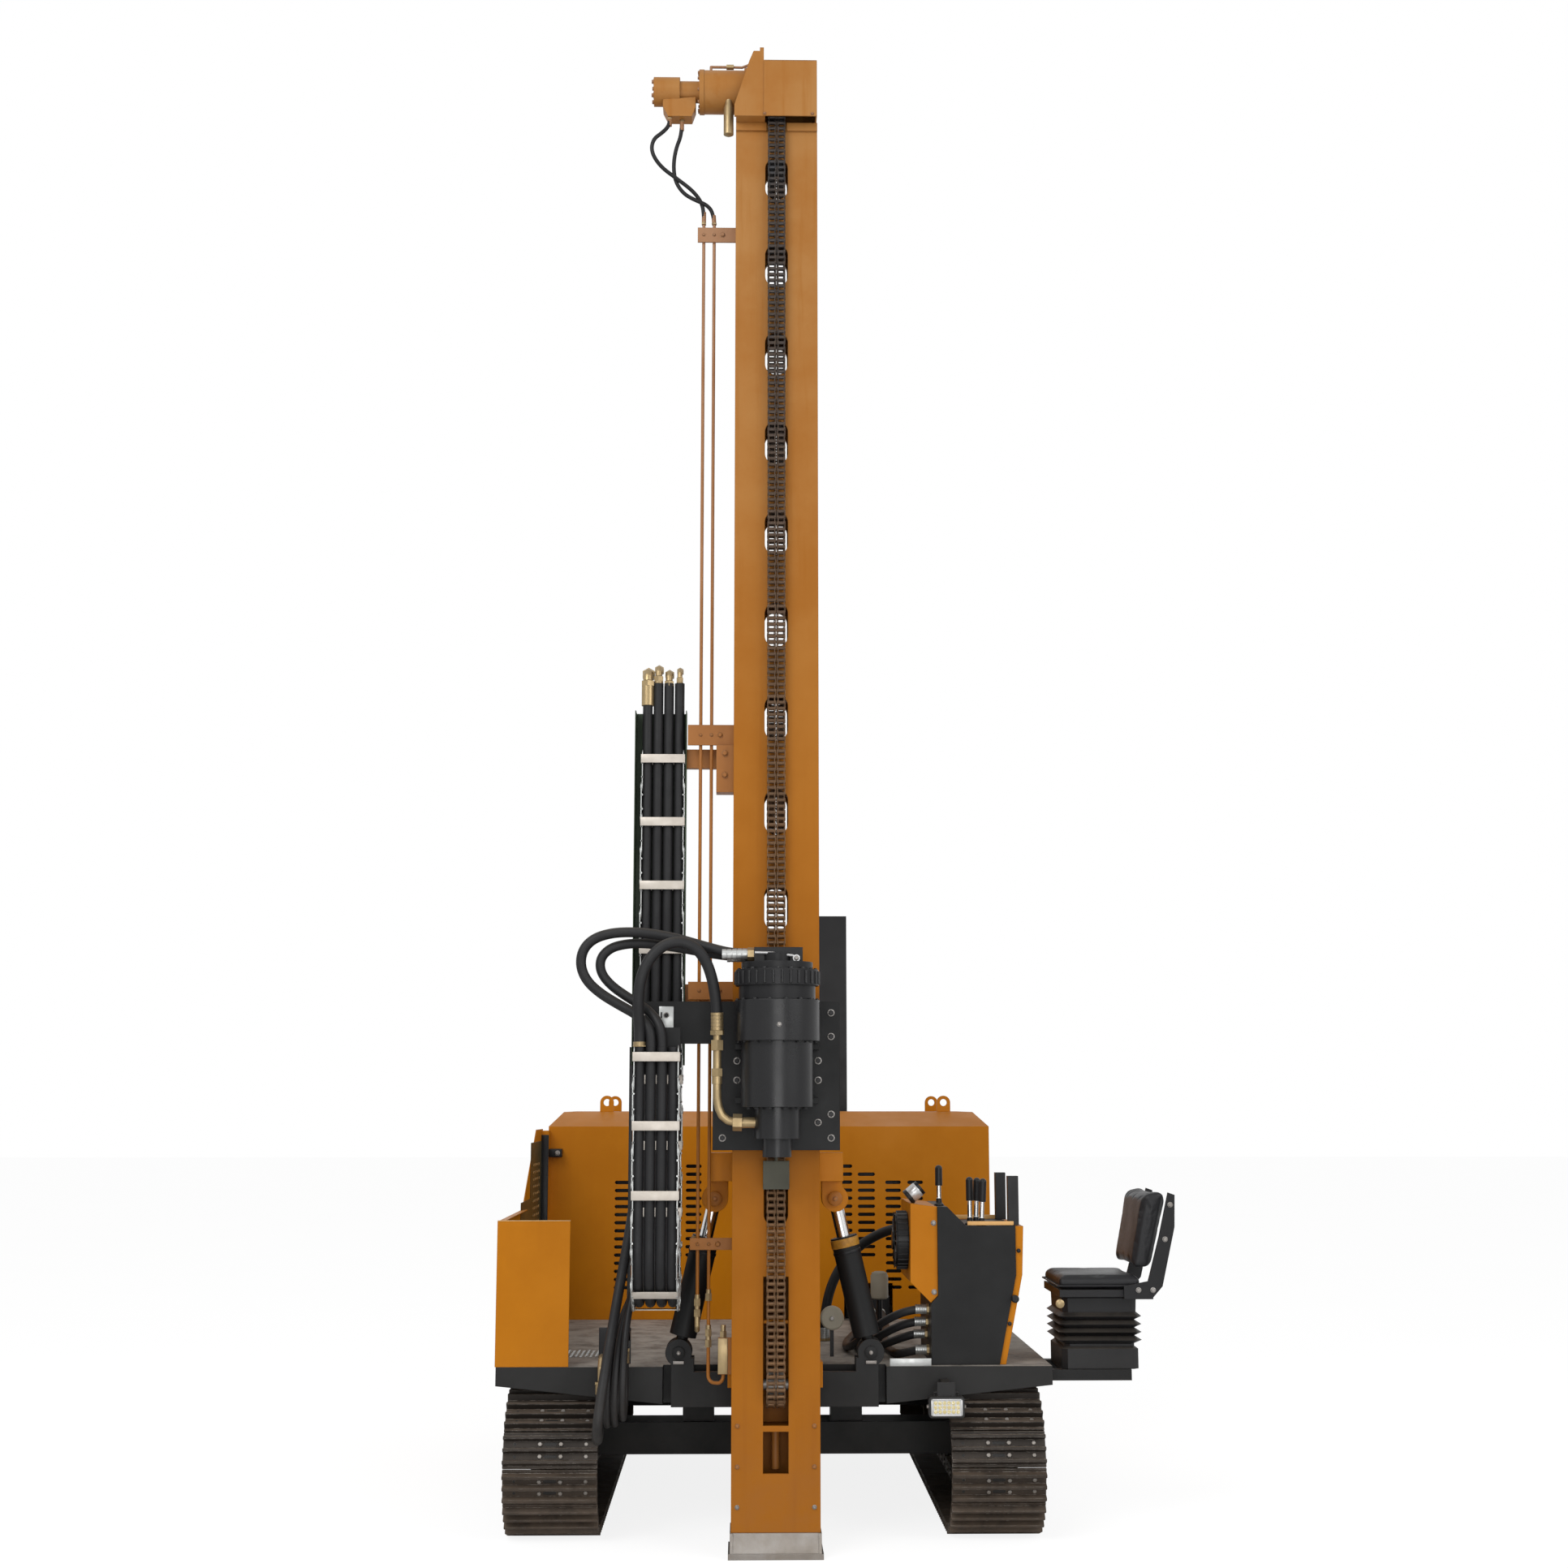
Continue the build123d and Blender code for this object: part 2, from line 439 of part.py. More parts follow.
def chain_anchor():
    """The two blocks that straddle the chain below and above the carriage, with their rods."""
    y = (-62, -RUN_GAP)
    way = block((-CHAIN_HALF - RUN_GAP, CHAIN_HALF + RUN_GAP), (CHAIN_FRONT - RUN_GAP, 0), (0, 9999))
    low = block((-ANCHOR_HALF, ANCHOR_HALF), y, ANCHOR_Z) - way
    low += bar((0, -52, ANCHOR_Z[1]), (0, -52, CARRIAGE_Z[0] - GAP), 7)
    high = block((-ANCHOR_HALF, ANCHOR_HALF), y, (CARRIAGE_Z[1] + GAP, CARRIAGE_Z[1] + 60)) - way
    return Compound(children=[low, high])


def swing_ears(pin_x, pin_z, top, y_low):
    """One ear of a clevis with a round end, hung from a beam: its pin's place, its top and its front face."""
    side = math.copysign(1, pin_x)
    shape = bar((pin_x, y_low, pin_z), (pin_x, y_low + EAR, pin_z), EAR_RADIUS)
    x = tuple(sorted((pin_x - side * EAR_RADIUS, pin_x + side * EAR_RADIUS * 0.55)))
    return shape + block(x, (y_low, y_low + EAR), (pin_z, top))


def swing_frame():
    """The plate behind the mast with its guide claws, the two clevises and the pivot pin."""
    body = block((-SWING_HALF, SWING_HALF), SWING_PLATE_Y, SWING_Z)
    body += block((-GUIDE_HALF, GUIDE_HALF), SWING_PLATE_Y, UPPER_GUIDE_Z)
    body += block((-MAST_HALF - RUN_GAP, MAST_HALF + RUN_GAP), SWING_PLATE_Y, LOWER_GUIDE_Z)
    for z in (UPPER_GUIDE_Z, LOWER_GUIDE_Z):
        body += block((-140, 140), (MAST_DEPTH + PAD_GAP, SWING_PLATE_Y[0] + 1), z)
    keeper_y = (MAST_DEPTH - MAST_PLATE - PAD_GAP - 24, MAST_DEPTH - MAST_PLATE - PAD_GAP)
    for z, outer in ((UPPER_GUIDE_Z, GUIDE_HALF), (LOWER_GUIDE_Z, MAST_HALF + RUN_GAP + 10)):
        for side in SIDES:
            body += block(span(side, MAST_HALF + RUN_GAP, outer), (keeper_y[0], SWING_PLATE_Y[1]), z)
            body += block(span(side, WEB_HALF + RUN_GAP, MAST_HALF + RUN_GAP), keeper_y, z)
    for side in SIDES:
        x = side * SWING_TOP_PIN[0]
        body += block(span(side, 190, GUIDE_HALF), (SWING_PLATE_Y[1], CYLINDER_Y + EYE_HALF + 7 + EAR),
                      (UPPER_GUIDE_Z[0], UPPER_GUIDE_Z[0] + 30))
        for y in (CYLINDER_Y - EYE_HALF - 7 - EAR, CYLINDER_Y + EYE_HALF + 7):
            body += swing_ears(x, SWING_TOP_PIN[1], UPPER_GUIDE_Z[0], y)
        body += bar((x, CYLINDER_Y - EYE_HALF - EAR - 20, SWING_TOP_PIN[1]),
                    (x, CYLINDER_Y + EYE_HALF + EAR + 14, SWING_TOP_PIN[1]), SWING_PIN)
    body += bar((0, SWING_PLATE_Y[1], SWING_PIVOT_Z), (0, CARRIER_Y[0] - 1, SWING_PIVOT_Z), 70)
    body += bar((0, SWING_PLATE_Y[1], SWING_PIVOT_Z), (0, CARRIER_Y[1] + 30, SWING_PIVOT_Z), PIVOT_RADIUS)
    for z in (LIFT_Z[0] + 30, LIFT_Z[1] - 90):
        body += block((-58, 58), (SWING_PLATE_Y[1], LIFT_Y + 20), (z, z + 50))
    return body - bar((0, LIFT_Y, LIFT_Z[0]), (0, LIFT_Y, LIFT_Z[1]), LIFT_RADIUS + GAP)


def lift_cylinder():
    """The barrel behind the mast and the rod, with its lug, that slides the mast."""
    barrel = bar((0, LIFT_Y, LIFT_Z[0]), (0, LIFT_Y, LIFT_Z[1]), LIFT_RADIUS, LIFT_BORE)
    barrel += bar((0, LIFT_Y, LIFT_Z[0]), (0, LIFT_Y, LIFT_Z[0] + 20), LIFT_RADIUS)
    barrel += bar((0, LIFT_Y, LIFT_Z[1] - 30), (0, LIFT_Y, LIFT_Z[1]), LIFT_RADIUS, LIFT_ROD + PIN_GAP)
    rod = bar((0, LIFT_Y, LIFT_Z[0] + 60), (0, LIFT_Y, LIFT_LUG_Z[0] + 10), LIFT_ROD)
    rod += block((-45, 45), (MAST_DEPTH + GAP, LIFT_Y + 32), LIFT_LUG_Z)
    return barrel, rod


def swing_cylinder(side):
    """One swing cylinder: the barrel with its lower eye and grey gland, and the rod with its open eye."""
    low = Vector(side * SWING_LOW_PIN[0], CYLINDER_Y, SWING_LOW_PIN[1])
    high = Vector(side * SWING_TOP_PIN[0], CYLINDER_Y, SWING_TOP_PIN[1])
    way = (high - low).normalized()
    y = (CYLINDER_Y - EYE_HALF, CYLINDER_Y + EYE_HALF)
    base = EAR_RADIUS + 12
    barrel = bar(low + way * base, low + way * BARREL_LENGTH, BARREL_RADIUS, ROD_RADIUS + 8)
    barrel += bar(low + way * base, low + way * (base + 20), BARREL_RADIUS) + bar(low, low + way * (base + 5), 24)
    barrel += bar(low + way * (BARREL_LENGTH - 30), low + way * BARREL_LENGTH, BARREL_RADIUS, ROD_RADIUS + PIN_GAP)
    barrel += bar((low.X, y[0], low.Z), (low.X, y[1], low.Z), 44)
    barrel -= bar((low.X, y[0] - 9, low.Z), (low.X, y[1] + 9, low.Z), SWING_PIN + PIN_GAP)
    length = (high - low).length
    eye = bar((high.X, y[0], high.Z), (high.X, y[1], high.Z), 44)
    rod = bar(low + way * 160, low + way * (length - 30), ROD_RADIUS) + eye
    return barrel, rod - bar((high.X, y[0] - 9, high.Z), (high.X, y[1] + 9, high.Z), SWING_PIN + EYE_SLACK)


def luff_frame():
    """The dark frame that luffs the mast: carrier plate with its ears, box, tower plates and pins."""
    front = [(-CARRIER_HALF, CARRIER_Z[0]), (CARRIER_HALF, CARRIER_Z[0]), (CARRIER_HALF, CARRIER_Z[1]),
             (180, CARRIER_Z[1]), (150, 700), (-150, 700), (-180, CARRIER_Z[1]), (-CARRIER_HALF, CARRIER_Z[1])]
    body = plate(front, "Y", *CARRIER_Y)
    body -= bar((0, 200, SWING_PIVOT_Z), (0, 300, SWING_PIVOT_Z), PIVOT_RADIUS + PIN_GAP)
    ear_ys = (CYLINDER_Y - EYE_HALF - 7 - EAR, CYLINDER_Y + EYE_HALF + 7)
    for side in SIDES:
        x, z = side * SWING_LOW_PIN[0], SWING_LOW_PIN[1]
        for y in ear_ys:
            body += bar((x, y, z), (x, y + EAR, z), EAR_RADIUS)
            foot = span(side, SWING_LOW_PIN[0] - 62, CARRIER_HALF)
            body += block(foot, (y, y + EAR), (CARRIER_Z[0], z - 20))
        body += bar((x, ear_ys[0] - 4, z), (x, ear_ys[1] + EAR + 4, z), SWING_PIN)
        body += block(span(side, 160, CARRIER_HALF), (CARRIER_Y[0], ear_ys[1] + EAR), (CARRIER_Z[0], CARRIER_Z[0] + 60))
    y, z = LUFF_PIVOT
    outline = [(CARRIER_Y[1], 560), (346, 560), (346, 705), (y, z - 52), (y + 40, z - 40), (y + 58, z),
               (LUFF_TOP[0] + 62, LUFF_TOP[1]), (LUFF_TOP[0] + 40, LUFF_TOP[1] + 48), (LUFF_TOP[0] - 40, LUFF_TOP[1] + 48),
               (350, 1240), (350, 800), (340, 700), (CARRIER_Y[1], 690)]
    for side in SIDES:
        body += plate(outline, "X", *span(side, TOWER_X, TOWER_X + TOWER_PLATE))
        body += bar((side * TOWER_X, y, z), (side * (TOWER_X + TOWER_PLATE + 36), y, z), LUFF_PIN)
    for low, high in ((900, 930), (1180, 1210)):
        body += block((-TOWER_X, TOWER_X), (350, 366), (low, high))
    reach = TOWER_X + TOWER_PLATE + 8
    return body + bar((-reach, *LUFF_TOP), (reach, *LUFF_TOP), LUFF_PIN)


def luff_cylinder():
    """The luffing cylinder on the deck's middle line: its barrel, and its rod with the open eye."""
    low, high = Vector(0, *LUFF_LOW), Vector(0, *LUFF_TOP)
    way, length = (high - low).normalized(), (high - low).length
    barrel = bar(low + way * 72, low + way * 598, 60, 42)
    barrel += bar(low + way * 72, low + way * 92, 60) + bar(low, low + way * 76, 44)
    barrel += bar(low + way * 568, low + way * 598, 60, 32 + PIN_GAP)
    eye = LUFF_EYE_HALF
    barrel += bar((-eye, *LUFF_LOW), (eye, *LUFF_LOW), 52)
    barrel -= bar((-eye - 1, *LUFF_LOW), (eye + 1, *LUFF_LOW), LUFF_PIN + PIN_GAP)
    rod = bar(low + way * 460, low + way * (length - 40), 32) + bar((-eye, *LUFF_TOP), (eye, *LUFF_TOP), 60)
    return barrel, rod - bar((-eye - 1, *LUFF_TOP), (eye + 1, *LUFF_TOP), LUFF_PIN + LUFF_EYE_SLACK)


def platform():
    """The deck: its top sheet, tapered front beam, side skirts, long beams and the luffing lugs."""
    top = (DECK_Z - DECK_SHEET, DECK_Z)
    deck = block((-DECK_HALF, DECK_HALF), DECK_Y, top)
    taper = [(-DECK_HALF, DECK_Z - 1), (DECK_HALF, DECK_Z - 1), (DECK_HALF, DECK_EDGE_Z), (CARRIER_HALF, DECK_MIDDLE_Z),
             (-CARRIER_HALF, DECK_MIDDLE_Z), (-DECK_HALF, DECK_EDGE_Z)]
    deck += plate(taper, "Y", DECK_Y[0], DECK_Y[0] + DECK_SHEET)
    for side in SIDES:
        deck += block(span(side, DECK_HALF - DECK_SHEET, DECK_HALF), DECK_Y, (DECK_EDGE_Z, DECK_Z))
        deck += block(span(side, BEAM_X - BEAM_WIDTH / 2, BEAM_X + BEAM_WIDTH / 2), (RECESS_Y, DECK_Y[1]),
                      (DECK_MIDDLE_Z, DECK_Z - 1))
    deck += block((-DECK_HALF, DECK_HALF), (DECK_Y[1] - DECK_SHEET, DECK_Y[1]), (DECK_EDGE_Z, DECK_Z))
    recess = (-RECESS_HALF, RECESS_HALF)
    deck -= block(recess, (DECK_Y[0] - 1, RECESS_Y), (DECK_MIDDLE_Z - 1, DECK_Z + 1))
    deck += block(recess, (RECESS_Y, RECESS_Y + DECK_SHEET), (DECK_MIDDLE_Z, DECK_Z))
    for side in SIDES:
        deck += block(span(side, RECESS_HALF, RECESS_HALF + DECK_SHEET), (DECK_Y[0], RECESS_Y + DECK_SHEET),
                      (DECK_MIDDLE_Z + 8, DECK_Z))
        for (y, z), inner in ((LUFF_PIVOT, TOWER_X + TOWER_PLATE + RUN_GAP), (LUFF_LOW, LUFF_EYE_HALF + RUN_GAP)):
            deck += bar((side * inner, y, z), (side * (inner + 26), y, z), 56)
            deck += block(span(side, inner, inner + 26), (y - 42, y + 70), (DECK_Z - 1, z))
        reach = (TOWER_X + TOWER_PLATE + 5, TOWER_X + TOWER_PLATE + RUN_GAP + 27)
        deck -= bar((side * reach[0], *LUFF_PIVOT), (side * reach[1], *LUFF_PIVOT), LUFF_PIN + PIN_GAP)
    return deck + bar((-80, *LUFF_LOW), (80, *LUFF_LOW), LUFF_PIN)


def undercarriage():
    """The two cross beams between the track frames, and the pedestals that carry the deck."""
    body = []
    for y in CROSS_Y:
        beam = block((-TRACK_X + FRAME_HALF + GAP, TRACK_X - FRAME_HALF - GAP), (y, y + CROSS_DEPTH), CROSS_Z)
        for side in SIDES:
            beam += block(span(side, *PEDESTAL_X), (y + 20, y + CROSS_DEPTH - 20),
                          (CROSS_Z[1] - 1, DECK_MIDDLE_Z - GAP))
        body.append(beam)
    return Compound(children=body)


def oval(radius, x):
    """A block round the track's two wheel centres, with many flats on that radius, between two x."""
    turn = [(radius * math.sin(math.pi * i / TURN_STEPS), -radius * math.cos(math.pi * i / TURN_STEPS))
            for i in range(TURN_STEPS + 1)]
    outline = [(WHEEL_Y[1] + y, TRACK_AXIS_Z + z) for y, z in turn]
    outline += [(WHEEL_Y[0] - y, TRACK_AXIS_Z - z) for y, z in turn]
    return plate(outline, "X", *x)


def loop_point(along, out):
    """A point of the track's outline: how far along its loop it lies, and how far out from the axes."""
    straight, half_turn = WHEEL_Y[1] - WHEEL_Y[0], math.pi * SHOE_OUT
    along %= 2 * (straight + half_turn)
    if along < straight:
        return WHEEL_Y[0] + along, TRACK_AXIS_Z - out
    if along < straight + half_turn:
        turn = (along - straight) / SHOE_OUT - math.pi / 2
        return WHEEL_Y[1] + out * math.cos(turn), TRACK_AXIS_Z + out * math.sin(turn)
    if along < 2 * straight + half_turn:
        return WHEEL_Y[1] - (along - straight - half_turn), TRACK_AXIS_Z + out
    turn = (along - 2 * straight - half_turn) / SHOE_OUT + math.pi / 2
    return WHEEL_Y[0] + out * math.cos(turn), TRACK_AXIS_Z + out * math.sin(turn)


def track(side):
    """One track: a closed loop of shoes, each with three ridges, on a narrower loop of links."""
    ridge = 2 * (WHEEL_Y[1] - WHEEL_Y[0] + math.pi * SHOE_OUT) / SHOE_COUNT / RIDGES
    outline = []
    for i in range(SHOE_COUNT * RIDGES):
        dip = 5 if i % RIDGES == 0 else 0  # the joint between two shoes
        outline += [loop_point((i + share) * ridge, SHOE_OUT + GROUSER * high - (0 if high else dip))
                    for share, high in RIDGE_SHAPE]
    middle = side * TRACK_X
    x = (middle - SHOE_HALF, middle + SHOE_HALF)
    loop = plate(outline, "X", *x)
    loop -= oval(SHOE_IN, (x[0] - 1, x[1] + 1))
    links = (middle - LINK_HALF, middle + LINK_HALF)
    return loop + (oval(SHOE_IN + 1, links) - oval(RAIL_RADIUS, (links[0] - 1, links[1] + 1)))


def track_frames():
    """The two side frames with their bottom rollers, which run on the links."""
    frames = []
    front, back = WHEEL_Y[0] + 230, WHEEL_Y[1] - 250
    for side in SIDES:
        middle = side * TRACK_X
        frame = block((middle - FRAME_HALF, middle + FRAME_HALF), (front, back), FRAME_Z)
        low = TRACK_AXIS_Z - RAIL_RADIUS + ROLLER_RADIUS + GAP
        for i in range(ROLLER_COUNT):
            y = front + 90 + i * (back - front - 180) / (ROLLER_COUNT - 1)
            frame += bar((middle - FRAME_HALF + 6, y, low), (middle + FRAME_HALF - 6, y, low), ROLLER_RADIUS)
        high = TRACK_AXIS_Z + RAIL_RADIUS - 40 - GAP
        frame += bar((middle - 40, (front + back) / 2, high), (middle + 40, (front + back) / 2, high), 40)
        frame += block((middle - 20, middle + 20), ((front + back) / 2 - 25, (front + back) / 2 + 25), (FRAME_Z[1] - 1, high))
        for y, reach in ((WHEEL_Y[0], front), (WHEEL_Y[1], back)):
            for x in (middle - FRAME_HALF, middle + FRAME_HALF - 16):
                frame += block((x, x + 16), tuple(sorted((y, reach))), (TRACK_AXIS_Z - 40, TRACK_AXIS_Z + 30))
                frame += bar((x, y, TRACK_AXIS_Z), (x + 16, y, TRACK_AXIS_Z), 62)
        frames.append(frame)
    return Compound(children=frames)


def track_wheels():
    """The idler at the front and the drive sprocket at the back of each track."""
    wheels = []
    radius = RAIL_RADIUS * math.cos(math.pi / 2 / TURN_STEPS) - GAP
    for side in SIDES:
        for y in WHEEL_Y:
            x = side * TRACK_X
            reach = FRAME_HALF - 16 - GAP
            wheels.append(bar((x - reach, y, TRACK_AXIS_Z), (x + reach, y, TRACK_AXIS_Z), radius))
    return Compound(children=wheels)


def hood():
    """The engine hood: hollow, with a hipped roof, a louvred front and an opening for each side door."""
    y, base = HOOD_Y, DECK_Z + GAP
    outer = block((-HOOD_HALF, HOOD_HALF), y, (base, HOOD_EDGE_Z))
    roof_low = Pos(0, (y[0] + y[1]) / 2, HOOD_EDGE_Z) * Rectangle(2 * HOOD_HALF, y[1] - y[0])
    roof_high = Pos(0, (ROOF_FRONT_Y + y[1] - 60) / 2, ROOF_TOP_Z) * Rectangle(2 * ROOF_HALF, y[1] - 60 - ROOF_FRONT_Y)
    outer += loft([roof_low, roof_high])
    inside = block((-HOOD_HALF + HOOD_WALL, HOOD_HALF - HOOD_WALL), (y[0] + HOOD_WALL, y[1] - HOOD_WALL),
                   (base - 1, HOOD_EDGE_Z - HOOD_WALL))
    shell = outer - inside
    slots = []
    for x, width, top, rows in LOUVRES:
        for side in SIDES:
            slots += [(side * x, top - i * LOUVRE_PITCH, width, LOUVRE_HEIGHT) for i in range(rows)]
    shell -= louvre_cuts(slots, (y[0] - 1, y[0] + HOOD_WALL + 1))
    shell -= block((374, 616), (y[0] - 1, y[0] + HOOD_WALL + 1), (base - 1, 860))
    for side in SIDES:
        shell -= block(span(side, HOOD_HALF - HOOD_WALL - 1, HOOD_HALF + 1), DOOR_Y, DOOR_Z)
    for side in SIDES:
        for z in HINGES:
            shell += bar((side * HINGE_X, HINGE_Y, z - 30), (side * HINGE_X, HINGE_Y, z + 45), HINGE_PIN)
            shell += bar((side * HINGE_X, HINGE_Y, z - 30), (side * HINGE_X, HINGE_Y, z - 1), HINGE_RADIUS)
            shell += block(span(side, HOOD_HALF - 1, HINGE_X), (HINGE_Y, HINGE_Y + HINGE_RADIUS), (z - 30, z - 1))
    for x in REAR_SLOTS_X:
        for z in range(*REAR_SLOTS_Z):
            shell -= block((x, x + 300), (y[1] - HOOD_WALL - 1, y[1] + 1), (z, z + 22))
    return shell


def hood_door(side):
    """One side door, hung at its back edge on two barrels."""
    x = span(side, HOOD_HALF - HOOD_WALL + 2, HOOD_HALF)
    door = block(x, (DOOR_Y[0] + RUN_GAP, DOOR_Y[1] - RUN_GAP), (DOOR_Z[0] + RUN_GAP, DOOR_Z[1] - RUN_GAP))
    for z in HINGES:
        door += block(span(side, HOOD_HALF - 1, HOOD_HALF + 3), (DOOR_Y[1] - 60, DOOR_Y[1] - RUN_GAP), (z, z + 40))
        door += block(span(side, HOOD_HALF + GAP, HOOD_HALF + 3), (DOOR_Y[1] - 60, HINGE_Y), (z, z + 40))
        door += bar((side * HINGE_X, HINGE_Y, z), (side * HINGE_X, HINGE_Y, z + 40), HINGE_RADIUS)
        door += block(span(side, HOOD_HALF + GAP, HINGE_X), (HINGE_Y - HINGE_RADIUS, HINGE_Y - 3), (z, z + 40))
        door -= bar((side * HINGE_X, HINGE_Y, z - 1), (side * HINGE_X, HINGE_Y, z + 41), HINGE_PIN + PIN_GAP)
    return door


def hood_lugs():
    """The lifting eyes on the roof."""
    lugs = []
    for x, y in LUGS:
        lug = bar((x, y - 8, ROOF_TOP_Z + 48), (x, y + 8, ROOF_TOP_Z + 48), 35)
        lug += block((x - 35, x + 35), (y - 8, y + 8), (ROOF_TOP_Z + GAP, ROOF_TOP_Z + 48))
        lugs.append(lug - bar((x, y - 9, ROOF_TOP_Z + 48), (x, y + 9, ROOF_TOP_Z + 48), 18))
    return Compound(children=lugs)


def exhaust_post():
    """The tall open duct on the back edge of the deck, behind the hood."""
    inner = [(a + POST_WALL, b - POST_WALL) for a, b in (POST_X, POST_Y)]
    return block(POST_X, POST_Y, (DECK_EDGE_Z + 5, POST_TOP)) - block(*inner, (DECK_Z + 200, POST_TOP + 1))


def guard():
    """The open sheet guard at the left: front sheet, side sheet that steps up to the hood, and post."""
    y0 = DECK_Y[0] + GAP
    body = block((GUARD_X, GUARD_FRONT), (y0, y0 + GUARD_SHEET), (DECK_Z + GAP, GUARD_TOP))
    side = [(y0, DECK_Z + GAP), (y0, GUARD_TOP), (1248, GUARD_TOP), (1826, 1618), (HOOD_Y[0] - 8, 1618),
            (HOOD_Y[0] - 8, DECK_Z + GAP)]
    body += plate(side, "X", GUARD_X, GUARD_X + GUARD_SHEET)
    body += block((GUARD_X, GUARD_X + 40), (2080, HOOD_Y[0] - GAP), (DECK_Z + GAP, 1610))
    body += block((GUARD_X, GUARD_X + 26), (y0, 1248), (GUARD_TOP - 4, GUARD_TOP))
    return body


def console():
    """The control console and its orange flaps and lid, all to one outline seen from the front."""
    x = CONSOLE_X
    side = [(x, DECK_Z + GAP), (x, 931), (x + 30, 960), (x + 30, 1321), (x + 71, 1321), (x + 151, 1242), (x + 353, 1245),
            (x + 353, 1045), (x + 280, DECK_Z + GAP)]
    shell = plate(side, "Y", *CONSOLE_Y)
    flap = [(x - 84, 1016), (x - 81, 1334), (x + 30 - GAP, 1321), (x + 30 - GAP, 962), (x, 933)]
    trim = [plate(flap, "Y", CONSOLE_Y[0] + 10, CONSOLE_Y[1] - 10)]
    outer = [(x + 353 + GAP, 1242), (x + 387, 1242), (x + 380, 1045), (x + 307, DECK_Z + GAP),
             (x + 280 + GAP, DECK_Z + GAP), (x + 353 + GAP, 1045)]
    trim.append(plate(outer, "Y", CONSOLE_Y[0] + 10, CONSOLE_Y[1] - 10))
    return shell, Compound(children=trim)


def console_levers():
    """The levers on the console's lid: x from its left wall, y of the foot, lean in x and length."""
    levers = []
    for out, y, lean, length in ((175, 440, 0, 180), (205, 480, 6, 175), (217, 380, 8, 175), (47, 450, 0, 150)):
        x = CONSOLE_X + out
        z = (1321 if out < 71 else 1242 + (out - 142) * 3 / 202) + 0.5
        levers.append(bar((x, y, z), (x + lean, y, z + length), 9) + bar(
            (x + lean * 0.55, y, z + length * 0.55), (x + lean, y, z + length + 4), 15))
    return Compound(children=levers)


def deck_fittings():
    """The cooling fan and the gauge on the console's left side, and the hose manifold in the hood's opening."""
    fan = Part()
    for low, high, radius in FAN_STEPS:
        fan += bar((CONSOLE_X + low, FAN_Y, FAN_Z), (CONSOLE_X + high, FAN_Y, FAN_Z), radius)
    gauge = bar((CONSOLE_X - 80, 450, 1356.3), (CONSOLE_X - 30, 450, 1398.3), 32)
    return Compound(children=[fan, gauge, block(MANIFOLD_X, MANIFOLD_Y, (DECK_Z + GAP, MANIFOLD_TOP))])


def arm_posts():
    """The two square posts at the console's outer edge."""
    x = (CONSOLE_X + 327, CONSOLE_X + 371)
    return Compound(children=[block(x, (y, y + 44), (1245 + GAP, 1446)) for y in (362, 790)])


def seat():
    """The operator's seat: cushions, pan with side plates, bellows suspension and its beam."""
    x, y = SEAT_X, SEAT_Y
    cushion = fillet(block((x, x + 372), y, (985, 1046)).edges(), 18)
    back = [(x + 318, 1062), (x + 376, 1385), (x + 440, 1395), (x + 480, 1385), (x + 400, 1062)]
    pads = Compound(children=[cushion, plate(back, "Y", *y)])
    pan = block((x + 16, x + 400), (y[0] + 6, y[1] - 6), (955, 985 - GAP))
    for side_y in ((y[0] - 12, y[0] - GAP), (y[1] + GAP, y[1] + 12)):
        arm = [(x + 280, 960), (x + 400, 955), (x + 440, 1000), (x + 496, 1240), (x + 500, 1370), (x + 472, 1380),
               (x + 430, 1200), (x + 380, 1020), (x + 280, 1000)]
        pan += plate(arm, "Y", *side_y)
    pan += block((x + 280, x + 400), (y[0] - 12, y[1] + 12), (948, 960))
    folds = Part()
    steps = (  # low z, high z, how far the side stands in
        (662, 760, 8), (760, 790, 20), (790, 812, 0), (812, 826, 20), (826, 848, 0), (848, 862, 20),
        (862, 884, 0), (884, 948 - GAP, 14),
    )
    for low, high, inset in steps:
        folds += block((x + 18 + inset, x + 360 - inset), (y[0] + 20 + inset, y[1] - 20 - inset), (low, high))
    beam = Part()
    for low in (y[0] + 40, y[1] - 90):
        beam += block((DECK_HALF + GAP, x + 313), (low, low + 50), (DECK_EDGE_Z + 8, 661.7))
    beam += block((x + 30, x + 313), (y[0] + 40, y[1] - 40), (650, 661.7))
    return pads, pan, folds, beam


def work_lamp():
    """The lamp in front of the right track, on a bracket from the deck's front beam."""
    body = block((617, 760), (168, 213), (499, 582))
    body = fillet(body.edges().filter_by(Axis.Y), 12)
    bracket = block((652, 726), (186, 194), (581, 636))
    return body + bracket + block((672, 706), (186, DECK_Y[0] - GAP), (628, 636))


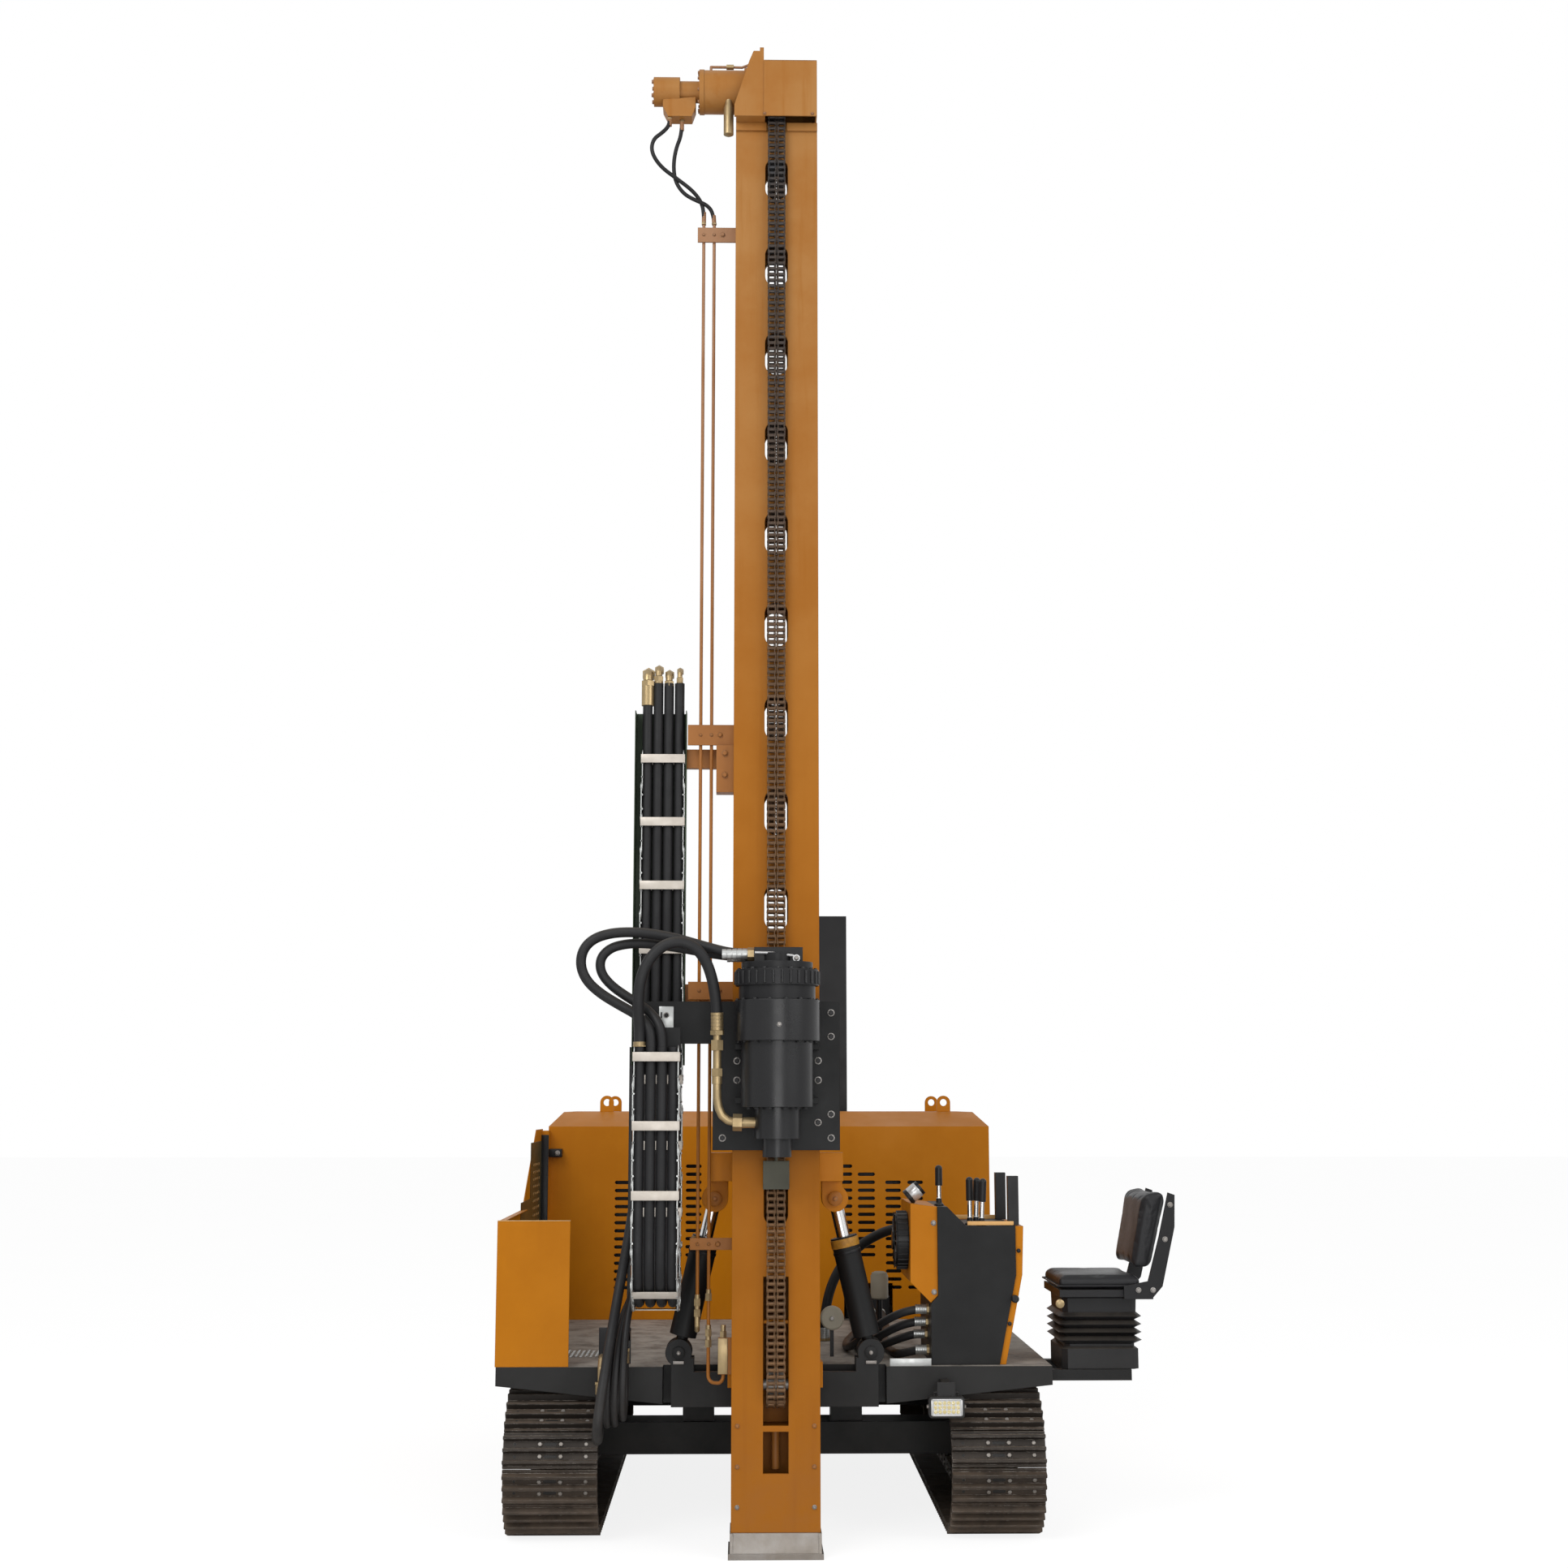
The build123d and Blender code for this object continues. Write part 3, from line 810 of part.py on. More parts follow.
# Hoses: each a list of points, and a diameter.
TOP_HOSES = (
    ([(-462, 30, 5964.6), (-462, 30, 5932), (-490, 15, 5890), (-532, -2, 5850), (-540, -5, 5790), (-500, 10, 5730),
      (-430, 40, 5690), (-362, 70, 5650), (-322, 92, 5605), (-313, 100, 5550), (-313, 100, 5505.3)], 17),
    ([(-410, 52, 5964.6), (-410, 52, 5900), (-436, 50, 5830), (-446, 50, 5750), (-436, 55, 5680), (-400, 62, 5630),
      (-350, 76, 5608), (-300, 90, 5594), (-272, 99, 5560), (-268, 100, 5505.3)], 17),
)
CARRIAGE_HOSES = (
    ([(-536.7, -262, 1963.3), (-536.7, -262, 2008), (-538, -270, 2045), (-541, -284, 2090), (-541, -298, 2160), (-532, -302, 2228),
      (-508, -302, 2290), (-468, -302, 2340), (-418, -302, 2368), (-362, -300, 2370), (-312, -294, 2342),
      (-276, -284, 2292), (-254, -272, 2228), (-241, -262, 2156), (-235, -253, 2080), (-234, -248, 2010)], 44),
    ([(-492, -262, 1963.3), (-492, -262, 2000), (-503, -256, 2042), (-546, -234, 2088), (-620, -222, 2128),
      (-694, -214, 2172), (-750, -211, 2222), (-776, -209, 2282), (-768, -208, 2344), (-728, -207, 2388),
      (-664, -207, 2410), (-590, -208, 2416), (-500, -214, 2410), (-390, -226, 2388), (-270, -242, 2352),
      (-170, -256, 2326), (-90.3, -256, 2326)], 40),
    ([(-448, -262, 1963.3), (-448, -262, 2008), (-466, -248, 2064), (-516, -216, 2116), (-590, -198, 2160),
      (-656, -187, 2206), (-698, -180, 2258), (-700, -176, 2314), (-662, -174, 2354), (-606, -174, 2370),
      (-540, -177, 2374), (-460, -183, 2366), (-370, -192, 2352), (-268, -204, 2332), (-170, -214, 2318),
      (-90.3, -214, 2318)], 38),
)
DECK_HOSES = (
    ([(644.7, 430, 900), (590, 430, 900), (520, 450, 880), (450, 490, 840), (390, 550, 785), (345, 640, 735),
      (320, 760, 708), (318, 900, 703), (335, 1060, 703), (365, 1240, 703), (395, 1440, 703), (412, 1650, 703),
      (416, 1860, 706), (418, 2030, 722), (419, 2120, 731), (419, 2199.7, 731)], 34),
    ([(644.7, 480, 845), (592, 480, 845), (525, 500, 825), (462, 540, 790), (410, 600, 750), (378, 690, 718),
      (366, 800, 704), (368, 930, 703), (385, 1090, 703), (412, 1270, 703), (440, 1460, 703), (458, 1660, 703),
      (463, 1870, 706), (465, 2030, 718), (466, 2120, 726), (466, 2199.7, 726)], 34),
    ([(644.7, 530, 790), (595, 530, 790), (535, 552, 770), (480, 590, 745), (440, 650, 722), (418, 740, 706),
      (412, 850, 703), (418, 980, 703), (436, 1130, 703), (462, 1300, 703), (486, 1490, 703), (502, 1690, 703),
      (507, 1890, 706), (510, 2030, 714), (511, 2120, 720), (511, 2199.7, 720)], 34),
    ([(644.7, 440, 735), (600, 440, 735), (560, 470, 722), (530, 520, 710), (512, 600, 703), (500, 700, 703),
      (492, 820, 703), (490, 960, 703), (500, 1120, 703), (518, 1300, 703), (536, 1490, 703), (548, 1690, 703),
      (554, 1890, 706), (557, 2030, 712), (558, 2120, 716), (558, 2199.7, 716)], 34),
    ([(600, 850.3, 1200), (599, 930, 1200), (584, 1014, 1198), (548, 1092, 1188), (490, 1156, 1164),
      (420, 1200, 1122), (352, 1222, 1062), (298, 1228, 988), (262, 1226, 904), (244, 1222, 818),
      (238, 1220, 746), (238, 1220, 685.3)], 44),
)


def main():
    """Builds every node and writes each to its own file."""
    nodes = {
        "mast_column": mast_column(),
        "mast_foot": mast_foot(),
        "top_housing": top_housing(),
        "feed_drive": feed_drive(),
        "chain_wheels": chain_wheels(),
        "feed_chain": feed_chain(),
        "hard_pipes": hard_pipes(),
        "pipe_brackets": pipe_brackets(),
        "cable_trough": cable_trough(),
        "carriage_frame": carriage_frame(),
        "rotary_gearbox": rotary_gearbox(),
        "rotary_motor": rotary_motor(),
        "spindle": spindle(),
        "chain_anchor": chain_anchor(),
        "swing_frame": swing_frame(),
        "luff_frame": luff_frame(),
        "platform": platform(),
        "undercarriage": undercarriage(),
        "track_frames": track_frames(),
        "track_wheels": track_wheels(),
        "hood": hood(),
        "hood_lugs": hood_lugs(),
        "engine_block": block((-ENGINE_HALF, ENGINE_HALF), ENGINE_Y, (DECK_Z + GAP, ENGINE_TOP)),
        "exhaust_post": exhaust_post(),
        "guard_left": guard(),
        "console_levers": console_levers(),
        "arm_posts": arm_posts(),
        "deck_fittings": deck_fittings(),
        "deck_hoses": Compound(children=[hose(*row) for row in DECK_HOSES]),
        "work_lamp": work_lamp(),
        "top_hoses": Compound(children=[hose(*row) for row in TOP_HOSES]),
        "carriage_hoses": Compound(children=[hose(*row) for row in CARRIAGE_HOSES]),
    }
    nodes.update(drag_nodes())
    nodes["lift_barrel"], nodes["lift_rod"] = lift_cylinder()
    nodes["luff_barrel"], nodes["luff_rod"] = luff_cylinder()
    nodes["console_shell"], nodes["console_flaps"] = console()
    nodes["seat_pads"], nodes["seat_pan"], nodes["seat_bellows"], nodes["seat_beam"] = seat()
    for side, word in zip(SIDES, ("left", "right")):
        nodes[f"track_{word}"] = track(side)
        nodes[f"hood_door_{word}"] = hood_door(side)
        nodes[f"swing_barrel_{word}"], nodes[f"swing_rod_{word}"] = swing_cylinder(side)
    os.makedirs("parts", exist_ok=True)
    for name, shape in nodes.items():
        export_step(shape, f"parts/{name}.step")
    print(len(nodes), "nodes")


main()
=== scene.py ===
"""Dresses a crawler pile rig: materials for its solids, and the pieces that the solids leave out."""
from __future__ import annotations

import json
import logging
import math
from dataclasses import dataclass, field
from enum import Enum

import bmesh
import bpy
from mathutils import Matrix, Vector

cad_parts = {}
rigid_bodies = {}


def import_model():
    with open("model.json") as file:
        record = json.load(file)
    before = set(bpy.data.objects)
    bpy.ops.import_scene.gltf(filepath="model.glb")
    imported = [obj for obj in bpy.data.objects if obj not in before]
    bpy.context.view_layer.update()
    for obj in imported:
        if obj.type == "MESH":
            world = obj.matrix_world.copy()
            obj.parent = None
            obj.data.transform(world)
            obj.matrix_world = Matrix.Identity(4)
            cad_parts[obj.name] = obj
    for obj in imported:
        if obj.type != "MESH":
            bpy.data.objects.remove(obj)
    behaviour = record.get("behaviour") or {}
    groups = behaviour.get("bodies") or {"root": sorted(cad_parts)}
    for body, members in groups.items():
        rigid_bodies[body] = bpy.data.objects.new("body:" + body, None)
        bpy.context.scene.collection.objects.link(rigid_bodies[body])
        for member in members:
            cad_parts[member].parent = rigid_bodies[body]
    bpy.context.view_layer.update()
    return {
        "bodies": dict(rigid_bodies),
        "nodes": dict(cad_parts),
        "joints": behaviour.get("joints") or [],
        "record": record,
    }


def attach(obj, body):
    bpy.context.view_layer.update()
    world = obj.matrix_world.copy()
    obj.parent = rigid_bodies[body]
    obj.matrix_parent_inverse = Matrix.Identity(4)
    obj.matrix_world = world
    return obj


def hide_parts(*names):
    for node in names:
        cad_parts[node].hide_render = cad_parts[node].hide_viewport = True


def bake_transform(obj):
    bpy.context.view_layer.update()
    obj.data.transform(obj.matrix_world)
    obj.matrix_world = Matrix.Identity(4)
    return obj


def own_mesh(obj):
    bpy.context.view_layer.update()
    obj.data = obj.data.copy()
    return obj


log = logging.getLogger("pile_rig")

Point = tuple[float, float, float]
Colour = tuple[float, float, float]

MM = 0.001
SIDES = (-1, 1)
SMOOTH_ANGLE = math.radians(38)

# Places that the solids share with this file, in metres
CHAIN_PITCH, CHAIN_RADIUS, CHAIN_Y, SPROCKET_Z, IDLER_Z = 0.0254, 0.07716, 0.052, 6.094, 0.647
DRAG_X, DRAG_REAR_Y, DRAG_FRONT_Y, BEND_Z, BEND_RADIUS = (-0.562, -0.378), 0.150, -0.262, 1.181, 0.206
DRAG_TOP_REAR, DRAG_TOP_FRONT, DRAG_PITCH, DRAG_BAR_STEP = 3.205, 1.963, 0.1325, 0.265
DRAG_HOSE_X, DRAG_HOSE_D, DRAG_HOSE_TOP = (-0.5367, -0.492, -0.448, -0.4033), 0.041, 3.490
HEAD_Y, DECK_Z = -0.246, 0.685
TRACK_X, SHOE_HALF, WHEEL_Y, TRACK_Z = 0.900, 0.190, (0.480, 2.780), 0.295
SHOE_COUNT, SHOE_OUT, SHOE_IN, RAIL_RADIUS = 44, 0.270, 0.258, 0.200
SEAT_Y = (0.330, 0.790)


class Finish(Enum):
    """The finishes that the rig is made in."""

    ORANGE = "orange_paint"
    MAST_ORANGE = "mast_orange_paint"
    AMBER = "amber_brown_paint"
    PALE = "sun_bleached_orange"
    CHARCOAL = "charcoal_paint"
    DECK = "dusty_deck_paint"
    BLACK = "satin_black_paint"
    GALVANISED = "galvanised_steel"
    BAR = "pale_zinc_bar"
    STEEL = "worn_bare_steel"
    CHROME = "chromed_rod"
    BRASS = "yellow_zinc_fitting"
    CHAIN = "oiled_rusty_chain"
    TRACK = "dusty_track_steel"
    TROUGH = "dark_green_trough"
    RUBBER = "hose_rubber"
    BELLOWS = "moulded_rubber"
    VINYL = "black_seat_vinyl"
    SILVER = "silver_plastic"
    BEIGE = "beige_plastic"
    OLIVE = "dark_olive_lining"
    ANCHOR = "grey_green_primer"
    LED = "lamp_chip"
    TAPE = "amber_tape"
    CAST = "black_cast_iron"


class Graph:
    """A node tree in the making, with short calls to add and join its nodes."""

    def __init__(self, tree: bpy.types.NodeTree) -> None:
        """Takes the tree that the nodes go in."""
        self.tree = tree

    def add(self, kind: str, sockets: dict[str | int, object] | None = None,
            **settings: object) -> bpy.types.Node:
        """Adds a node.

        Args:
            kind: the node's type, without its ShaderNode prefix.
            sockets: an input's name or number, and the value or the output that it gets.
            settings: the node's own properties.

        Returns:
            The new node.
        """
        node = self.tree.nodes.new(kind if kind.startswith("Node") else "ShaderNode" + kind)
        for name, value in settings.items():
            setattr(node, name, value)
        for name, value in (sockets or {}).items():
            if isinstance(value, bpy.types.NodeSocket):
                self.tree.links.new(value, node.inputs[name])
            else:
                node.inputs[name].default_value = value
        return node

    def maths(self, operation: str, *values: object, clamp: bool = False) -> bpy.types.NodeSocket:
        """The output of a Math node of that operation on the values."""
        return self.add("Math", dict(enumerate(values)), operation=operation, use_clamp=clamp).outputs[0]

    def mix(self, factor: object, first: object, second: object) -> bpy.types.NodeSocket:
        """The output of a colour Mix node, from the first colour at 0 to the second at 1."""
        node = self.add("Mix", {0: factor, 6: _rgba(first), 7: _rgba(second)}, data_type="RGBA")
        return node.outputs[2]

    def blend_value(self, factor: object, first: float, second: float) -> bpy.types.NodeSocket:
        """The output of a float Mix node, from the first value at 0 to the second at 1."""
        return self.add("Mix", {0: factor, 2: first, 3: second}, data_type="FLOAT").outputs[0]

    def ramp(self, value: object, low: float, high: float, start: float = 0.0,
             end: float = 1.0) -> bpy.types.NodeSocket:
        """The output of a smooth Map Range node, clamped between start and end."""
        node = self.add("MapRange", {0: value, 1: low, 2: high, 3: start, 4: end},
                        interpolation_type="SMOOTHSTEP")
        return node.outputs[0]

    def noise(self, place: object, scale: object, detail: float = 3.0,
              rough: float = 0.55) -> bpy.types.NodeSocket:
        """The value of a Noise Texture at a place."""
        sockets = {"Vector": place, "Scale": scale, "Detail": detail, "Roughness": rough}
        return self.add("TexNoise", sockets).outputs["Fac"]


def _rgba(colour: object) -> object:
    """A colour of three numbers with its alpha, or the socket as it is."""
    return (*colour, 1.0) if isinstance(colour, tuple) and len(colour) == 3 else colour


def new_material(name: str) -> tuple[bpy.types.Material, Graph, bpy.types.Node]:
    """A new material with nodes, its graph and its main shader."""
    material = bpy.data.materials.new(name)
    material.use_nodes = True
    return material, Graph(material.node_tree), material.node_tree.nodes["Principled BSDF"]


def new_object(name: str, data: bpy.types.ID) -> bpy.types.Object:
    """A new object at the origin that holds the data, linked to the scene."""
    made = bpy.data.objects.new(name, data)
    bpy.context.scene.collection.objects.link(made)
    return made


def place_at(centre: Vector, *axes: Vector) -> Matrix:
    """The matrix that moves the origin to a centre and X, Y and Z onto three axes."""
    return Matrix.Translation(centre) @ Matrix(axes).transposed().to_4x4()


def weathering_group() -> bpy.types.NodeTree:
    """Builds the shared node group for worn edges, patches, streaks, dust and fine grain.

    Returns:
        The group, which reads Object coordinates and puts out masks and a normal.
    """
    tree = bpy.data.node_groups.new("weathering", "ShaderNodeTree")
    for name, value in (("Edge Width", 0.004), ("Patch Scale", 3.0), ("Grain Scale", 400.0), ("Grain", 0.1),
                        ("Dust Height", 0.9)):
        socket = tree.interface.new_socket(name=name, in_out="INPUT", socket_type="NodeSocketFloat")
        socket.default_value = value
    for name in ("Edge", "Patch", "Streak", "Dust", "Height"):
        tree.interface.new_socket(name=name, in_out="OUTPUT", socket_type="NodeSocketFloat")
    tree.interface.new_socket(name="Normal", in_out="OUTPUT", socket_type="NodeSocketVector")
    g = Graph(tree)
    given = g.add("NodeGroupInput").outputs
    place = g.add("TexCoord").outputs["Object"]
    normal = g.add("NewGeometry").outputs["Normal"]
    rounded = g.add("Bevel", {"Radius": given["Edge Width"]}, samples=4).outputs[0]
    facing = g.add("VectorMath", {0: rounded, 1: normal}, operation="DOT_PRODUCT").outputs["Value"]
    corner = g.ramp(g.maths("SUBTRACT", 1.0, facing), 0.004, 0.16)
    broken = g.ramp(g.noise(place, 26.0, 6.0, 0.7), 0.42, 0.62)
    edge = g.maths("MULTIPLY", corner, broken, clamp=True)
    patch = g.ramp(g.noise(place, given["Patch Scale"], 5.0, 0.6), 0.3, 0.7)
    tall = g.add("Mapping", {"Vector": place, "Scale": (22.0, 22.0, 1.3)}).outputs[0]
    streak = g.ramp(g.noise(tall, 1.0, 4.0, 0.6), 0.5, 0.78)
    height = g.add("SeparateXYZ", {0: place}).outputs["Z"]
    up = g.ramp(g.add("SeparateXYZ", {0: normal}).outputs["Z"], 0.3, 0.95)
    low = g.maths("SUBTRACT", 1.0, g.ramp(height, 0.0, given["Dust Height"]))
    speckle = g.ramp(g.noise(place, 9.0, 8.0, 0.7), 0.12, 0.66)
    dust = g.maths("MULTIPLY", g.maths("MAXIMUM", up, low), speckle, clamp=True)
    grain = g.noise(place, given["Grain Scale"], 2.0)
    bump = g.add("Bump", {"Strength": given["Grain"], "Distance": 0.002, "Height": grain, "Normal": rounded})
    sockets = {"Edge": edge, "Patch": patch, "Streak": streak, "Dust": dust, "Height": height,
               "Normal": bump.outputs[0]}
    g.add("NodeGroupOutput", sockets)
    return tree


@dataclass(frozen=True)
class Paint:
    """An opaque finish: its colour, how it varies, how it wears and gathers dust, and on some finishes a
    painted highlight that lightens it towards the top.
    """

    colour: Colour
    shade: Colour
    worn: Colour
    roughness: float = 0.42
    metallic: float = 0.0
    worn_metallic: float = 0.0
    dust: Colour = (0.30, 0.25, 0.19)
    edge: float = 0.5
    dirt: float = 0.3
    streak: float = 0.2
    grain: float = 0.08
    grain_scale: float = 420.0
    patch_scale: float = 3.0
    edge_width: float = 0.004
    dust_height: float = 0.9
    # Colour blended in from 2.0 m up to 5.6 m. On the mast orange and the amber paint it is a painted
    # highlight: the upper parts lighter where the sun washes them out, though the real paint is one colour.
    high: Colour | None = None
    specular: float = 0.28

    def build(self, name: str, group: bpy.types.NodeTree) -> bpy.types.Material:
        """Makes the material.

        Args:
            name: the material's name.
            group: the shared weathering group.

        Returns:
            The finished material.
        """
        material, g, shader = new_material(name)
        wear = g.add("Group", node_tree=group)
        for socket, value in (("Edge Width", self.edge_width), ("Patch Scale", self.patch_scale),
                              ("Grain Scale", self.grain_scale), ("Grain", self.grain),
                              ("Dust Height", self.dust_height)):
            wear.inputs[socket].default_value = value
        out = wear.outputs
        base: object = self.colour
        # Painted highlight on the mast orange and amber paint: the colour turns lighter with height, from 2.0
        # m to 5.6 m, where the sun washes the upper parts out.
        if self.high:
            base = g.mix(g.ramp(out["Height"], 2.0, 5.6), self.colour, self.high)
        tone = g.mix(g.maths("MULTIPLY", out["Patch"], 0.55), base, self.shade)
        tone = g.mix(g.maths("MULTIPLY", out["Streak"], self.streak), tone, self.shade)
        worn = g.maths("MULTIPLY", out["Edge"], self.edge)
        tone = g.mix(worn, tone, self.worn)
        tone = g.mix(g.maths("MULTIPLY", out["Dust"], self.dirt), tone, self.dust)
        link = material.node_tree.links.new
        link(tone, shader.inputs["Base Color"])
        rough = g.blend_value(out["Patch"], self.roughness - 0.06, self.roughness + 0.08)
        rough = g.maths("ADD", rough, g.maths("MULTIPLY", out["Dust"], 0.35 * self.dirt), clamp=True)
        link(rough, shader.inputs["Roughness"])
        link(out["Normal"], shader.inputs["Normal"])
        if self.worn_metallic != self.metallic:
            link(g.blend_value(worn, self.metallic, self.worn_metallic), shader.inputs["Metallic"])
        else:
            shader.inputs["Metallic"].default_value = self.metallic
        shader.inputs["Specular IOR Level"].default_value = 0.5 if self.metallic > 0.5 else self.specular
        return material


@dataclass(frozen=True)
class Glow:
    """A lit-looking chip with a fine cross pattern."""

    colour: Colour
    strength: float

    def build(self, name: str, group: bpy.types.NodeTree) -> bpy.types.Material:
        """Makes the material.

        Args:
            name: the material's name.
            group: the shared weathering group, whose grain it takes.

        Returns:
            The finished material.
        """
        material, g, shader = new_material(name)
        place = g.add("TexCoord").outputs["Object"]
        cells = g.add("TexVoronoi", {"Vector": place, "Scale": 160.0}).outputs["Distance"]
        tone = g.mix(g.ramp(cells, 0.1, 0.5), self.colour, (0.5, 0.42, 0.2))
        material.node_tree.links.new(tone, shader.inputs["Base Color"])
        wear = g.add("Group", node_tree=group)
        material.node_tree.links.new(wear.outputs["Normal"], shader.inputs["Normal"])
        material.node_tree.links.new(tone, shader.inputs["Emission Color"])
        shader.inputs["Emission Strength"].default_value = self.strength
        shader.inputs["Roughness"].default_value = 0.3
        return material


FINISHES: dict[Finish, Paint | Glow] = {
    Finish.ORANGE: Paint((0.52, 0.178, 0.001), (0.43, 0.138, 0.001), (0.55, 0.24, 0.03), edge=0.3,
                         specular=0.14, dirt=0.12, streak=0.22, grain=0.04, roughness=0.40),
    # Mast orange: its high colour is a painted highlight, the upper mast made lighter and more peach where
    # the sun washes it out.
    Finish.MAST_ORANGE: Paint((0.365, 0.120, 0.001), (0.30, 0.092, 0.001), (0.30, 0.14, 0.04), edge=0.5,
                              dirt=0.08, specular=0.14,
                              streak=0.45, grain=0.05, roughness=0.42, high=(0.39, 0.185, 0.055),
                              patch_scale=2.2),
    # Amber paint: its high colour is the same painted highlight, lighter towards the top where the sun washes
    # it out.
    Finish.AMBER: Paint((0.36, 0.125, 0.012), (0.24, 0.085, 0.014), (0.30, 0.20, 0.12), edge=0.6, dirt=0.2,
                        high=(0.36, 0.19, 0.10), roughness=0.38),
    Finish.PALE: Paint((0.72, 0.42, 0.16), (0.60, 0.32, 0.10), (0.75, 0.55, 0.32), edge=0.4, dirt=0.3),
    Finish.CHARCOAL: Paint((0.012, 0.0122, 0.0125), (0.008, 0.0082, 0.0085), (0.06, 0.056, 0.05), edge=0.3,
                           dirt=0.05, specular=0.2, streak=0.15, roughness=0.44, grain=0.05),
    Finish.DECK: Paint((0.016, 0.0155, 0.015), (0.011, 0.0105, 0.010), (0.12, 0.11, 0.10), edge=0.5, dirt=0.9,
                       dust=(0.42, 0.385, 0.34), streak=0.2, roughness=0.5, dust_height=0.05),
    Finish.BLACK: Paint((0.010, 0.010, 0.011), (0.006, 0.006, 0.007), (0.07, 0.07, 0.07), edge=0.4, dirt=0.08,
                        roughness=0.36, grain=0.06),
    Finish.CAST: Paint((0.010, 0.010, 0.011), (0.006, 0.006, 0.007), (0.06, 0.06, 0.058), edge=0.5, dirt=0.05,
                       roughness=0.30, grain=0.16, grain_scale=170.0, specular=0.4),
    Finish.GALVANISED: Paint((0.52, 0.53, 0.52), (0.38, 0.39, 0.38), (0.75, 0.75, 0.74), roughness=0.34,
                             metallic=0.85,
                             worn_metallic=0.85, dirt=0.15, patch_scale=24.0, grain=0.1, edge_width=0.002),
    Finish.BAR: Paint((0.60, 0.55, 0.49), (0.48, 0.43, 0.37), (0.72, 0.69, 0.64), roughness=0.42,
                      metallic=0.35,
                      worn_metallic=0.35, dirt=0.2, patch_scale=18.0, grain=0.12, edge_width=0.002),
    Finish.STEEL: Paint((0.30, 0.285, 0.27), (0.19, 0.165, 0.145), (0.55, 0.54, 0.52), roughness=0.40,
                        metallic=0.8, worn_metallic=0.8, dirt=0.3, patch_scale=12.0, grain=0.14),
    Finish.CHROME: Paint((0.78, 0.78, 0.78), (0.62, 0.62, 0.62), (0.9, 0.9, 0.9), roughness=0.16,
                         metallic=1.0, worn_metallic=1.0, dirt=0.1, edge=0.2, grain=0.02),
    Finish.BRASS: Paint((0.42, 0.31, 0.16), (0.30, 0.22, 0.12), (0.62, 0.54, 0.38), roughness=0.36,
                        metallic=0.7,
                        worn_metallic=0.7, dirt=0.15, patch_scale=20.0, grain=0.05, edge_width=0.0015),
    Finish.CHAIN: Paint((0.17, 0.085, 0.034), (0.07, 0.045, 0.028), (0.42, 0.25, 0.12), roughness=0.42,
                        metallic=0.55,
                        worn_metallic=0.7, dirt=0.15, patch_scale=9.0, grain=0.1, edge_width=0.0015,
                        high=(0.035, 0.036, 0.04)),
    Finish.TRACK: Paint((0.034, 0.027, 0.022), (0.018, 0.015, 0.013), (0.50, 0.46, 0.41), roughness=0.46,
                        metallic=0.3,
                        worn_metallic=0.7, dirt=0.60, dust=(0.17, 0.125, 0.09), edge=1.0, patch_scale=7.0,
                        grain=0.25, grain_scale=150.0, edge_width=0.003, dust_height=0.45),
    Finish.TROUGH: Paint((0.022, 0.045, 0.018), (0.014, 0.024, 0.012), (0.16, 0.17, 0.12), edge=0.6,
                         dirt=0.15),
    Finish.RUBBER: Paint((0.016, 0.016, 0.017), (0.010, 0.010, 0.011), (0.06, 0.06, 0.06), roughness=0.50,
                         edge=0.2,
                         dirt=0.12, grain=0.10, grain_scale=300.0, edge_width=0.001, patch_scale=8.0),
    Finish.BELLOWS: Paint((0.014, 0.014, 0.015), (0.009, 0.009, 0.010), (0.05, 0.05, 0.05), roughness=0.40,
                          edge=0.4, dirt=0.12, grain=0.12),
    Finish.VINYL: Paint((0.016, 0.016, 0.018), (0.010, 0.010, 0.011), (0.05, 0.05, 0.05), roughness=0.38,
                        edge=0.2, dirt=0.0, grain=0.35, grain_scale=520.0, edge_width=0.002),
    Finish.SILVER: Paint((0.60, 0.60, 0.60), (0.48, 0.48, 0.48), (0.8, 0.8, 0.8), roughness=0.30,
                         metallic=0.5, worn_metallic=0.5, dirt=0.08, edge_width=0.001),
    Finish.BEIGE: Paint((0.45, 0.41, 0.32), (0.34, 0.31, 0.24), (0.6, 0.57, 0.5), roughness=0.5, dirt=0.2),
    Finish.OLIVE: Paint((0.060, 0.050, 0.018), (0.040, 0.034, 0.014), (0.20, 0.15, 0.06), dirt=0.1),
    Finish.ANCHOR: Paint((0.060, 0.058, 0.040), (0.035, 0.034, 0.026), (0.22, 0.20, 0.14), dirt=0.2,
                         metallic=0.2),
    Finish.TAPE: Paint((0.50, 0.24, 0.03), (0.16, 0.075, 0.018), (0.45, 0.32, 0.18), roughness=0.34,
                       patch_scale=40.0, dirt=0.2, grain=0.4, grain_scale=120.0),
    Finish.LED: Glow((0.85, 0.80, 0.62), 0.25),
}


class Paintbox:
    """Every finish as a Blender material, and the calls that put one on a node or a piece."""

    def __init__(self, nodes: dict[str, bpy.types.Object]) -> None:
        """Builds the materials. The frame's nodes are kept to be dressed by name."""
        group = weathering_group()
        self.nodes = nodes
        self.materials = {kind: finish.build(kind.value, group) for kind, finish in FINISHES.items()}

    def dress(self, finish: Finish, *names: str) -> None:
        """Gives nodes of the frame a finish, in all their material slots."""
        for name in names:
            node = self.nodes[name]
            if not node.material_slots:
                node.data.materials.append(None)
            for slot in node.material_slots:
                slot.link = "OBJECT"
                slot.material = self.materials[finish]


